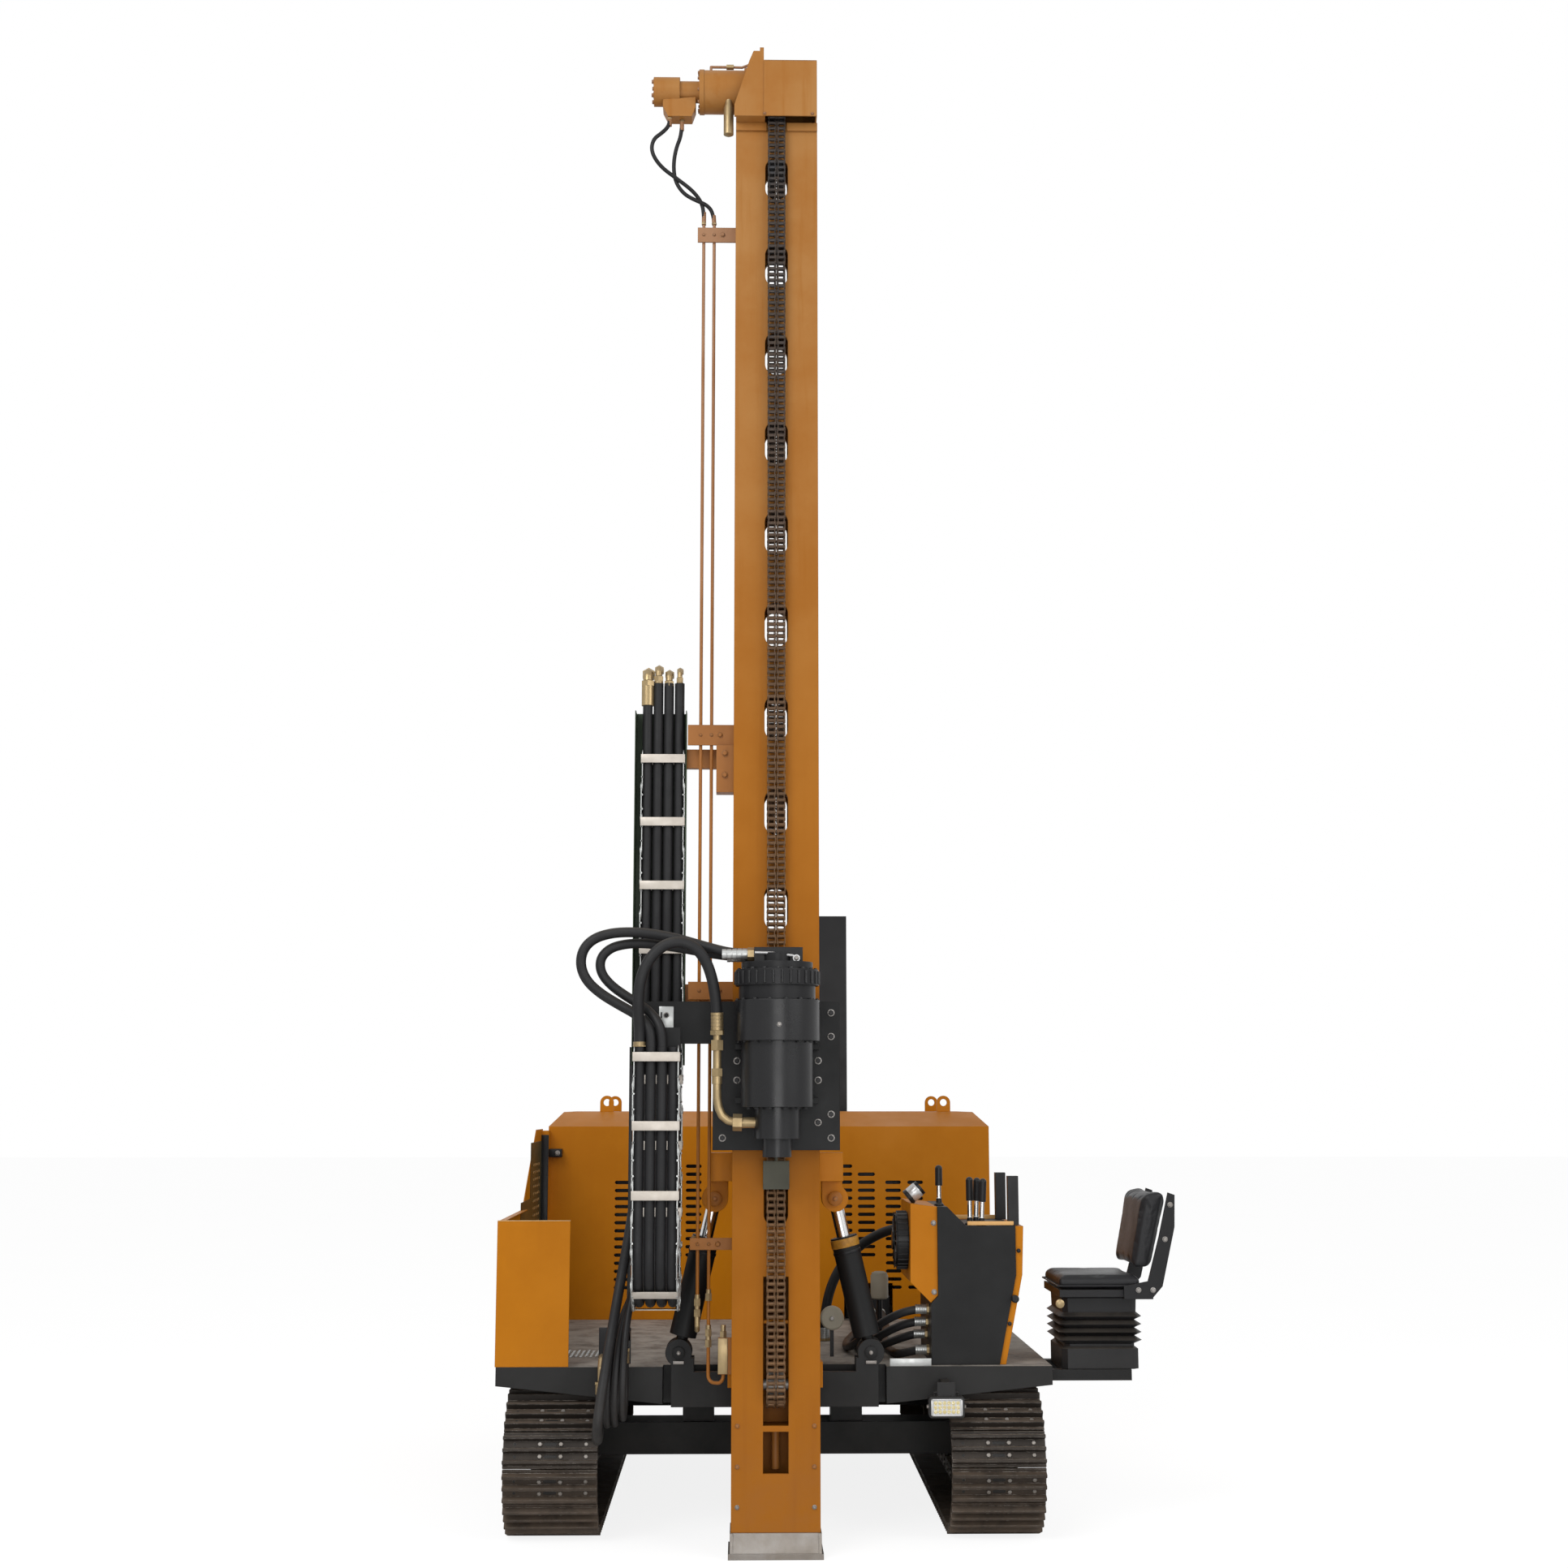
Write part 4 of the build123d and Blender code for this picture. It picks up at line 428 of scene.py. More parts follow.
@dataclass
class Shape:
    """A mesh in the making from bmesh operators, with the finishes that its faces use."""

    name: str
    finishes: tuple[Finish, ...]
    bm: bmesh.types.BMesh = field(default_factory=bmesh.new)

    def _paint(self, faces: set[bmesh.types.BMFace], finish: Finish | None) -> None:
        """Gives faces one of the shape's finishes, the first where none is named."""
        index = self.finishes.index(finish) if finish else 0
        for face in faces:
            face.material_index = index

    def _round(self, verts: list[bmesh.types.BMVert], bevel: float, segments: int,
               angle: float = 30.0) -> None:
        """Bevels the edges between the verts where their faces turn by more than an angle."""
        edges = {edge for vert in verts for edge in vert.link_edges if len(edge.link_faces) == 2}
        sharp = [edge for edge in edges if edge.calc_face_angle(0.0) > math.radians(angle)]
        bmesh.ops.bevel(self.bm, geom=sharp, offset=bevel, offset_type="OFFSET", affect="EDGES",
                        segments=segments, profile=0.5, material=-1, clamp_overlap=True)

    def _done(self, verts: list[bmesh.types.BMVert], finish: Finish | None, bevel: float, segments: int,
              angle: float = 30.0) -> None:
        """Paints what the verts bound, then rounds it."""
        self._paint({face for vert in verts for face in vert.link_faces}, finish)
        if bevel:
            self._round(verts, bevel, segments, angle)

    def box(self, low: Point, high: Point, finish: Finish | None = None, bevel: float = 0.0,
            segments: int = 2, turn: Matrix | None = None) -> None:
        """Adds a box between two corners.

        Args:
            low: its lowest corner.
            high: its highest corner.
            finish: one of the shape's finishes.
            bevel: how far its edges are rounded.
            segments: the steps of that rounding.
            turn: a turn about the box's own middle.
        """
        middle = (Vector(low) + Vector(high)) / 2
        size = Vector(high) - Vector(low)
        matrix = Matrix.Translation(middle) @ (turn or Matrix()).to_4x4() @ Matrix.Diagonal((*size, 1.0))
        verts = bmesh.ops.create_cube(self.bm, size=1.0, matrix=matrix)["verts"]
        self._done(verts, finish, bevel, segments)

    def rod(self, start: Point, end: Point, radius: float, finish: Finish | None = None, sides: int = 24,
            tip: float | None = None, bevel: float = 0.0) -> None:
        """Adds a round bar or a cone between two points.

        Args:
            start: the middle of its first end.
            end: the middle of its last end.
            radius: at its start.
            finish: one of the shape's finishes.
            sides: the flats round it.
            tip: its radius at the end, where that differs.
            bevel: how far its end edges are rounded.
        """
        way = Vector(end) - Vector(start)
        matrix = Matrix.Translation(Vector(start) + way / 2) @ way.to_track_quat("Z",
                                                                                 "Y").to_matrix().to_4x4()
        verts = bmesh.ops.create_cone(self.bm, cap_ends=True, segments=sides, radius1=radius,
                                      radius2=radius if tip is None else tip, depth=way.length,
                                      matrix=matrix)["verts"]
        self._done(verts, finish, bevel, 1, 50.0)

    def ball(self, middle: Point, radius: float, finish: Finish | None = None, sides: int = 16) -> None:
        """Adds a ball."""
        verts = bmesh.ops.create_uvsphere(self.bm, u_segments=sides, v_segments=sides // 2, radius=radius,
                                          matrix=Matrix.Translation(Vector(middle)))["verts"]
        self._done(verts, finish, 0.0, 1)

    def plate(self, points: list[tuple[float, float]], axis: str, low: float, high: float,
              finish: Finish | None = None, bevel: float = 0.0, segments: int = 1) -> None:
        """Adds a plate with an outline square to an axis.

        Args:
            points: the outline, by the two other axes in their order.
            axis: X, Y or Z.
            low: where the plate starts on that axis.
            high: where it ends.
            finish: one of the shape's finishes.
            bevel: how far its edges are rounded.
            segments: the steps of that rounding.
        """
        place = {"X": lambda a, b: (low, a, b), "Y": lambda a, b: (a, low, b), "Z": lambda a,
                 b: (a, b, low)}[axis]
        way = {"X": (1, 0, 0), "Y": (0, 1, 0), "Z": (0, 0, 1)}[axis]
        verts = [self.bm.verts.new(place(a, b)) for a, b in points]
        face = self.bm.faces.new(verts)
        grown = bmesh.ops.extrude_face_region(self.bm, geom=[face])["geom"]
        moved = [item for item in grown if isinstance(item, bmesh.types.BMVert)]
        bmesh.ops.translate(self.bm, verts=moved, vec=Vector(way) * (high - low))
        self._done(verts + moved, finish, bevel, segments)

    def turned(self, centre: Point, axis: Point, profile: list[tuple[float, float]],
               finish: Finish | None = None, sides: int = 32) -> None:
        """Adds a turned form: a profile spun all the way round an axis.

        Args:
            centre: the point on the axis from which the profile's places are measured.
            axis: the way that the places run.
            profile: place along the axis and radius, in order; both ends close on the axis.
            finish: one of the shape's finishes.
            sides: the steps of the spin.
        """
        way = Vector(axis).normalized()
        out = way.orthogonal().normalized()
        line = [(profile[0][0], 0.0), *profile, (profile[-1][0], 0.0)]
        verts = [self.bm.verts.new(Vector(centre) + way * along + out * radius) for along, radius in line]
        edges = [self.bm.edges.new(pair) for pair in zip(verts, verts[1:])]
        before = set(self.bm.faces)
        bmesh.ops.spin(self.bm, geom=verts + edges, cent=centre, axis=way, dvec=(0, 0, 0), angle=2 * math.pi,
                       steps=sides, use_merge=True, use_duplicate=False)
        faces = set(self.bm.faces) - before
        ring = list({vert for face in faces for vert in face.verts})
        bmesh.ops.remove_doubles(self.bm, verts=ring, dist=1e-6)
        self._paint({face for face in self.bm.faces if face not in before}, finish)

    def bolt(self, at: Point, axis: Point, across: float = 0.022, finish: Finish | None = None,
             rim: Finish | None = None) -> None:
        """Adds a hex bolt's head on its washer, standing on a face.

        Args:
            at: the point on the face.
            axis: the way that the head stands out.
            across: the size of the hexagon.
            finish: one of the shape's finishes.
            rim: the washer's finish, where that differs.
        """
        way, start = Vector(axis).normalized(), Vector(at)
        rise = 0.10 * across
        self.rod(start - way * 0.001, start + way * rise, 0.72 * across, rim or finish, 14)
        self.rod(start + way * rise, start + way * (rise + 0.42 * across), 0.56 * across, finish, 6,
                 0.50 * across)

    def elbow(self, points: list[Point], radius: float, finish: Finish | None = None,
              sides: int = 14) -> None:
        """Adds a bent tube that follows a few points, with a ball at each bend."""
        for start, end in zip(points, points[1:]):
            self.rod(start, end, radius, finish, sides)
        for middle in points[1:-1]:
            self.ball(middle, radius, finish, sides)

    def template(self) -> bpy.types.Mesh:
        """Ends the shape as a bare mesh, to be stamped into another shape many times."""
        bmesh.ops.recalc_face_normals(self.bm, faces=self.bm.faces)
        mesh = bpy.data.meshes.new(self.name)
        self.bm.to_mesh(mesh)
        self.bm.free()
        return mesh

    def stamp(self, template: bpy.types.Mesh, place: Matrix) -> None:
        """Adds a copy of a template at a place."""
        copy = template.copy()
        copy.transform(place)
        self.bm.from_mesh(copy)
        bpy.data.meshes.remove(copy)

    def piece(self, paintbox: Paintbox, body: str | None, *replaced: str) -> bpy.types.Object:
        """Turns the shape into a finished piece of the rig.

        Args:
            paintbox: where its materials come from.
            body: the body that it rides on, or None, where it is joined to no body.
            replaced: the nodes that it stands for.

        Returns:
            The piece's object, at the origin.
        """
        bmesh.ops.recalc_face_normals(self.bm, faces=self.bm.faces)
        mesh = bpy.data.meshes.new(self.name)
        self.bm.to_mesh(mesh)
        self.bm.free()
        for finish in self.finishes:
            mesh.materials.append(paintbox.materials[finish])
        mesh.shade_smooth()
        mesh.set_sharp_from_angle(angle=SMOOTH_ANGLE)
        piece = new_object(self.name, mesh)
        if replaced:
            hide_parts(*replaced)
        if body:
            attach(piece, body)
        log.info("%s: %d faces", self.name, len(mesh.polygons))
        return piece


@dataclass
class Studio:
    """The camera at the photograph's place, the soft lights and the pale floor."""

    place: Point = (-0.1336, -8.398, 1.749)
    pitch: float = 98.75
    heading: float = -1.130
    lens: float = 47.514
    floor_size: float = 120.0
    floor_glow: float = 1.22
    floor_glow_share: float = 0.7
    surround_light: float = 0.5
    surround_gloss: float = 0.6
    # name, place, the point that it looks at, size in metres, power in watts
    lamps: tuple[tuple[str, Point, Point, float, float], ...] = (
        ("key", (-5.0, -8.0, 9.0), (0.0, 0.6, 2.4), 6.0, 560.0),
        ("fill", (7.0, -6.0, 6.0), (0.0, 0.6, 2.0), 6.0, 260.0),
        ("low_front", (0.5, -9.0, 1.2), (0.0, 0.5, 1.0), 4.0, 150.0))

    def build(self) -> None:
        """Makes the camera, the world, the lights and the floor."""
        scene = bpy.context.scene
        scene.view_settings.view_transform = "Standard"
        camera = bpy.data.cameras.new("camera")
        camera.lens, camera.sensor_width, camera.clip_end = self.lens, 36.0, 300.0
        viewer = bpy.data.objects.new("camera", camera)
        viewer.location = self.place
        viewer.rotation_euler = (math.radians(self.pitch), 0.0, math.radians(self.heading))
        scene.collection.objects.link(viewer)
        scene.camera = viewer
        self._world(scene)
        for lamp in self.lamps:
            self._light(*lamp)
        self._floor()

    def _world(self, scene: bpy.types.Scene) -> None:
        """A white surround that shows to the camera and in gloss, and lights the rig a little less."""
        world = bpy.data.worlds.new("white_surround")
        world.use_nodes = True
        g = Graph(world.node_tree)
        path = g.add("LightPath").outputs
        seen = g.maths("MAXIMUM", path["Is Camera Ray"], path["Is Transmission Ray"])
        seen = g.maths("MAXIMUM", seen, g.maths("MULTIPLY", path["Is Glossy Ray"], self.surround_gloss))
        strength = g.blend_value(seen, self.surround_light, 1.0)
        back = world.node_tree.nodes["Background"]
        back.inputs["Color"].default_value = (1.0, 1.0, 1.0, 1.0)
        world.node_tree.links.new(strength, back.inputs["Strength"])
        scene.world = world

    def _light(self, name: str, place: Point, target: Point, size: float, power: float) -> None:
        """Adds a soft square lamp that looks at a point."""
        data = bpy.data.lights.new(name, "AREA")
        data.size, data.energy = size, power
        lamp = bpy.data.objects.new(name, data)
        lamp.location = place
        lamp.rotation_euler = (Vector(target) - Vector(place)).to_track_quat("-Z", "Y").to_euler()
        bpy.context.scene.collection.objects.link(lamp)

    def _floor(self) -> None:
        """A pale floor that keeps the rig's shadow and runs into the white surround."""
        bm = bmesh.new()
        bmesh.ops.create_grid(bm, x_segments=1, y_segments=1, size=self.floor_size / 2)
        mesh = bpy.data.meshes.new("floor")
        bm.to_mesh(mesh)
        bm.free()
        material, g, shader = new_material("floor")
        tree = material.node_tree
        place = g.add("TexCoord").outputs["Object"]
        tone = g.mix(g.noise(place, 0.8), (0.80, 0.80, 0.80), (0.84, 0.84, 0.84))
        tree.links.new(tone, shader.inputs["Base Color"])
        shader.inputs["Roughness"].default_value = 0.9
        shader.inputs["Specular IOR Level"].default_value = 0.0
        glow = g.add("Emission", {"Color": (1.0, 1.0, 1.0, 1.0), "Strength": self.floor_glow})
        path = g.add("LightPath").outputs
        factor = g.maths("MULTIPLY", path["Is Camera Ray"], self.floor_glow_share)
        mixed = g.add("MixShader", {0: factor, 1: shader.outputs[0], 2: glow.outputs[0]})
        tree.links.new(mixed.outputs[0], tree.nodes["Material Output"].inputs["Surface"])
        mesh.materials.append(material)
        new_object("floor", mesh)


@dataclass
class FeedChain:
    """The duplex roller chain that runs round the mast's drive sprocket and its idler."""

    strand_x: tuple[float, ...] = (-0.0195, 0.0195)
    plate_gap: tuple[float, float] = (0.0122, 0.0160)
    plate_half: float = 0.0120
    roller: float = 0.0082
    half_plate: float = 0.0016
    pin: float = 0.0038
    pin_end: float = 0.0022

    def _link(self, outer: bool) -> bpy.types.Mesh:
        """One pitch of both strands along X: its plates, and a roller and pin at its start."""
        shape = Shape("link", (Finish.CHAIN,))
        gap = self.plate_gap[1 if outer else 0]
        half, reach = self.plate_half, CHAIN_PITCH / 2 + self.plate_half * 0.85
        waist = half * 0.72
        outline = [(-reach, -half * 0.5), (-reach + half * 0.6, -half), (0.0, -waist),
                   (reach - half * 0.6, -half),
                   (reach, -half * 0.5), (reach, half * 0.5), (reach - half * 0.6, half), (0.0, waist),
                   (-reach + half * 0.6, half), (-reach, half * 0.5)]
        for x in self.strand_x:
            for side in SIDES:
                start = x + side * gap
                shape.plate([(a, b) for a, b in outline], "Y", start - self.half_plate,
                            start + self.half_plate)
            shape.rod((-CHAIN_PITCH / 2, x - self.plate_gap[0], 0),
                      (-CHAIN_PITCH / 2, x + self.plate_gap[0], 0), self.roller, sides=8)
        end = self.strand_x[1] + self.plate_gap[1] + self.pin_end
        shape.rod((-CHAIN_PITCH / 2, -end, 0), (-CHAIN_PITCH / 2, end, 0), self.pin, sides=6)
        return shape.template()

    def _place(self, along: float) -> Matrix:
        """Where a link lies that far round the loop, with its width on the mast's X."""
        straight, turn = SPROCKET_Z - IDLER_Z, math.pi * CHAIN_RADIUS
        along %= 2 * (straight + turn)
        if along < straight:
            centre, angle = Vector((0, CHAIN_Y - CHAIN_RADIUS, IDLER_Z + along)), math.pi / 2
        elif along < straight + turn:
            a = (along - straight) / CHAIN_RADIUS
            centre = Vector((0, CHAIN_Y - CHAIN_RADIUS * math.cos(a),
                             SPROCKET_Z + CHAIN_RADIUS * math.sin(a)))
            angle = math.pi / 2 - a
        elif along < 2 * straight + turn:
            centre = Vector((0, CHAIN_Y + CHAIN_RADIUS, SPROCKET_Z - (along - straight - turn)))
            angle = -math.pi / 2
        else:
            a = (along - 2 * straight - turn) / CHAIN_RADIUS
            centre = Vector((0, CHAIN_Y + CHAIN_RADIUS * math.cos(a), IDLER_Z - CHAIN_RADIUS * math.sin(a)))
            angle = -math.pi / 2 - a
        way = Vector((0, math.cos(angle), math.sin(angle)))
        wide = Vector((1, 0, 0))
        return place_at(centre, way, wide, way.cross(wide))

    def build(self, paintbox: Paintbox) -> None:
        """Lays the links round the loop as one piece on the mast."""
        shape = Shape("feed_chain_links", (Finish.CHAIN,))
        templates = [self._link(False), self._link(True)]
        loop = 2 * (SPROCKET_Z - IDLER_Z + math.pi * CHAIN_RADIUS)
        count = 2 * round(loop / CHAIN_PITCH / 2)
        for i in range(count):
            shape.stamp(templates[i % 2], self._place(i * loop / count))
        for template in templates:
            bpy.data.meshes.remove(template)
        shape.piece(paintbox, "mast", "feed_chain")


@dataclass
class DragChain:
    """The steel hose carrier beside the mast: link plates, pins, bars and the hoses in them."""

    plate_half: float = 0.030
    plate: float = 0.0045
    bar_half: float = 0.018
    pin_head: float = 0.013
    top_margin: float = 0.02
    bar_reach: tuple[float, float] = (0.026, 0.032)
    bend_links: int = 5
    bend_bars: tuple[float, ...] = (-45, -90, -135)

    def _link(self, outer: bool) -> bpy.types.Mesh:
        """One link of both rails: plates with a long opening, and pins with round heads.

        Args:
            outer: whether its plates lie outside their neighbours'.

        Returns:
            A small mesh whose X runs along the chain and whose Z lies square to it.
        """
        shape = Shape("rail_link", (Finish.GALVANISED,))
        half, reach = self.plate_half, DRAG_PITCH / 2
        steps = 6
        turn = [math.pi * i / steps - math.pi / 2 for i in range(steps + 1)]
        outline = [(reach + half * 0.8 * math.cos(a), half * math.sin(a)) for a in turn]
        outline += [(-reach - half * 0.8 * math.cos(a), -half * math.sin(a)) for a in turn]
        hole = [(x * 0.52, z * 0.45) for x, z in outline]
        for side, edge in ((-1, DRAG_X[0]), (1, DRAG_X[1])):
            inner = edge - side * (0.0005 if outer else self.plate)
            low, high = sorted((inner, inner - side * self.plate * 0.85))
            loops = []
            for points in (outline, hole):
                ring = [shape.bm.verts.new((a, low, b)) for a, b in points]
                loops += [shape.bm.edges.new(pair) for pair in zip(ring, ring[1:] + ring[:1])]
            faces = bmesh.ops.bridge_loops(shape.bm, edges=loops)["faces"]
            grown = bmesh.ops.extrude_face_region(shape.bm, geom=faces)["geom"]
            moved = [item for item in grown if isinstance(item, bmesh.types.BMVert)]
            bmesh.ops.translate(shape.bm, verts=moved, vec=(0, high - low, 0))
            shape.rod((-reach, edge - side * 0.0085, 0), (-reach, edge + side * 0.0020, 0), self.pin_head,
                      sides=10)
            for x in (-reach * 0.45, reach * 0.45):
                shape.rod((x, edge - side * 0.006, -half), (x, edge - side * 0.006, half), 0.0045, sides=6)
        return shape.template()

    def _run_matrix(self, y: float, z: float) -> Matrix:
        """The place of a link on a straight run: along Z, with its width on X."""
        return place_at(Vector((0, y, z)), Vector((0, 0, 1)), Vector((1, 0, 0)), Vector((0, 1, 0)))

    def _run(self, name: str, y: float, low: float, high: float) -> Shape:
        """A straight run of links and bars."""
        shape = Shape(name, (Finish.GALVANISED, Finish.BAR))
        links = (self._link(False), self._link(True))
        top, length = high - self.top_margin, high - low - self.top_margin
        count = round(length / DRAG_PITCH)
        for i in range(count):
            z = top - (i + 0.5) * length / count
            shape.stamp(links[i % 2], self._run_matrix(y, z))
        for link in links:
            bpy.data.meshes.remove(link)
        bar = 2 * self.bar_half
        for i in range(int((high - low - bar) // DRAG_BAR_STEP) + 1):
            bar_top = top - i * DRAG_BAR_STEP
            for face in SIDES:
                near, far = sorted(y + face * reach for reach in self.bar_reach)
                shape.box((DRAG_X[0], near, bar_top - bar), (DRAG_X[1], far, bar_top), Finish.BAR, 0.0015)
        return shape

    def _straight_hoses(self, name: str, y: float, low: float, high: float) -> Shape:
        """Four hoses side by side, straight up."""
        shape = Shape(name, (Finish.RUBBER,))
        for x in DRAG_HOSE_X:
            shape.rod((x, y, low), (x, y, high), DRAG_HOSE_D / 2, sides=20)
        return shape

    def _bend(self, paintbox: Paintbox) -> None:
        """The bend at the bottom: links, bars and hoses round half a circle."""
        middle = (DRAG_REAR_Y + DRAG_FRONT_Y) / 2
        shape = Shape("drag_links_bend", (Finish.GALVANISED, Finish.BAR))
        links = (self._link(False), self._link(True))
        for i in range(self.bend_links):
            angle = -math.pi * (i + 0.5) / self.bend_links
            out = Vector((0, math.cos(angle), math.sin(angle)))
            way = Vector((0, -math.sin(angle), math.cos(angle)))
            place = place_at(Vector((0, middle, BEND_Z)) + out * BEND_RADIUS, way, Vector((1, 0, 0)), out)
            shape.stamp(links[i % 2], place)
        radius = BEND_RADIUS + 0.028
        for angle in self.bend_bars:
            a = math.radians(angle)
            centre = Vector((sum(DRAG_X) / 2, middle + radius * math.cos(a), BEND_Z + radius * math.sin(a)))
            size = Vector(((DRAG_X[1] - DRAG_X[0]) / 2, self.bar_half, 0.0025))
            shape.box(tuple(centre - size), tuple(centre + size), Finish.BAR, 0.001,
                      turn=Matrix.Rotation(a + math.pi / 2, 4, "X"))
        shape.piece(paintbox, "drag_bend", "drag_chain_bend")
        hoses = Shape("drag_hoses_bend_round", (Finish.RUBBER,))
        for x in DRAG_HOSE_X:
            ring = bmesh.ops.create_circle(hoses.bm, segments=16, radius=DRAG_HOSE_D / 2, cap_ends=True,
                                           matrix=Matrix.Translation((x, DRAG_REAR_Y, BEND_Z)))["verts"]
            face = list({f for v in ring for f in v.link_faces})
            bmesh.ops.spin(hoses.bm, geom=face, cent=(x, middle, BEND_Z), axis=(-1, 0, 0), dvec=(0, 0, 0),
                           angle=math.pi, steps=24, use_merge=False, use_duplicate=False)
        bmesh.ops.remove_doubles(hoses.bm, verts=hoses.bm.verts, dist=1e-6)
        hoses.piece(paintbox, "drag_bend", "drag_hoses_bend")

    def build(self, paintbox: Paintbox) -> None:
        """Makes the runs and the bend; the rear run and its hoses ride on the mast, and the front run and its
        hoses are left on no body.
        """
        self._bend(paintbox)
        rear = self._run("drag_links_rear", DRAG_REAR_Y, BEND_Z, DRAG_TOP_REAR)
        rear = rear.piece(paintbox, "mast", "drag_chain_rear")
        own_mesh(rear)
        hoses = self._straight_hoses("drag_hoses_rear_round", DRAG_REAR_Y, BEND_Z, DRAG_HOSE_TOP)
        hoses = hoses.piece(paintbox, "mast", "drag_hoses_rear")
        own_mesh(hoses)
        for shape, node in ((self._run("drag_links_front", DRAG_FRONT_Y, BEND_Z, DRAG_TOP_FRONT),
                             "drag_chain_front"),
                            (self._straight_hoses("drag_hoses_front_round", DRAG_FRONT_Y, BEND_Z,
                                                  DRAG_TOP_FRONT),
                             "drag_hoses_front")):
            piece = shape.piece(paintbox, None, node)
            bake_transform(piece)


@dataclass
class Hose:
    """A hose along its own route of points, in millimetres as the solid's route is, with crimped ends."""

    name: str
    points: list[Point]
    diameter: float
    length: float
    body: str
    lay: str = "loose"
    end_finish: Finish = Finish.GALVANISED
    crimp: tuple[float, float] = (60.0, 60.0)
    far_end: str = "object"

    def build(self, paintbox: Paintbox) -> None:
        route = [Vector(point) * MM for point in self.points]
        curve = bpy.data.curves.new(self.name, "CURVE")
        curve.dimensions = "3D"
        spline = curve.splines.new("NURBS")
        spline.points.add(len(route) - 1)
        for target, point in zip(spline.points, route):
            target.co = (*point, 1.0)
        spline.order_u = 3
        spline.use_endpoint_u = True
        spline.resolution_u = 6
        curve.bevel_depth = self.diameter * MM / 2
        curve.bevel_resolution = 6
        curve.use_fill_caps = True
        curve.materials.append(paintbox.materials[Finish.RUBBER])
        hose = new_object(self.name, curve)
        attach(hose, self.body)
        ends = Shape(f"{self.name}_ferrules", (self.end_finish, Finish.BRASS))
        radius = self.diameter * MM / 2
        for start, second, length in ((route[0], route[1], self.crimp[0]),
                                      (route[-1], route[-2], self.crimp[1])):
            if not length:
                continue
            way = (second - start).normalized()
            steps = 5
            for i in range(steps):
                low = length * MM * (0.22 + 0.78 * i / steps)
                high = length * MM * (0.22 + 0.78 * (i + 0.8) / steps)
                ends.rod(tuple(start + way * low), tuple(start + way * high), radius * 1.13, sides=18)
            ends.rod(tuple(start), tuple(start + way * length * MM * 0.96), radius * 1.06, sides=18)
            ends.rod(tuple(start + way * 0.001), tuple(start + way * length * MM * 0.2), radius * 1.3,
                     Finish.BRASS, 6)
        ferrules = ends.piece(paintbox, self.body)


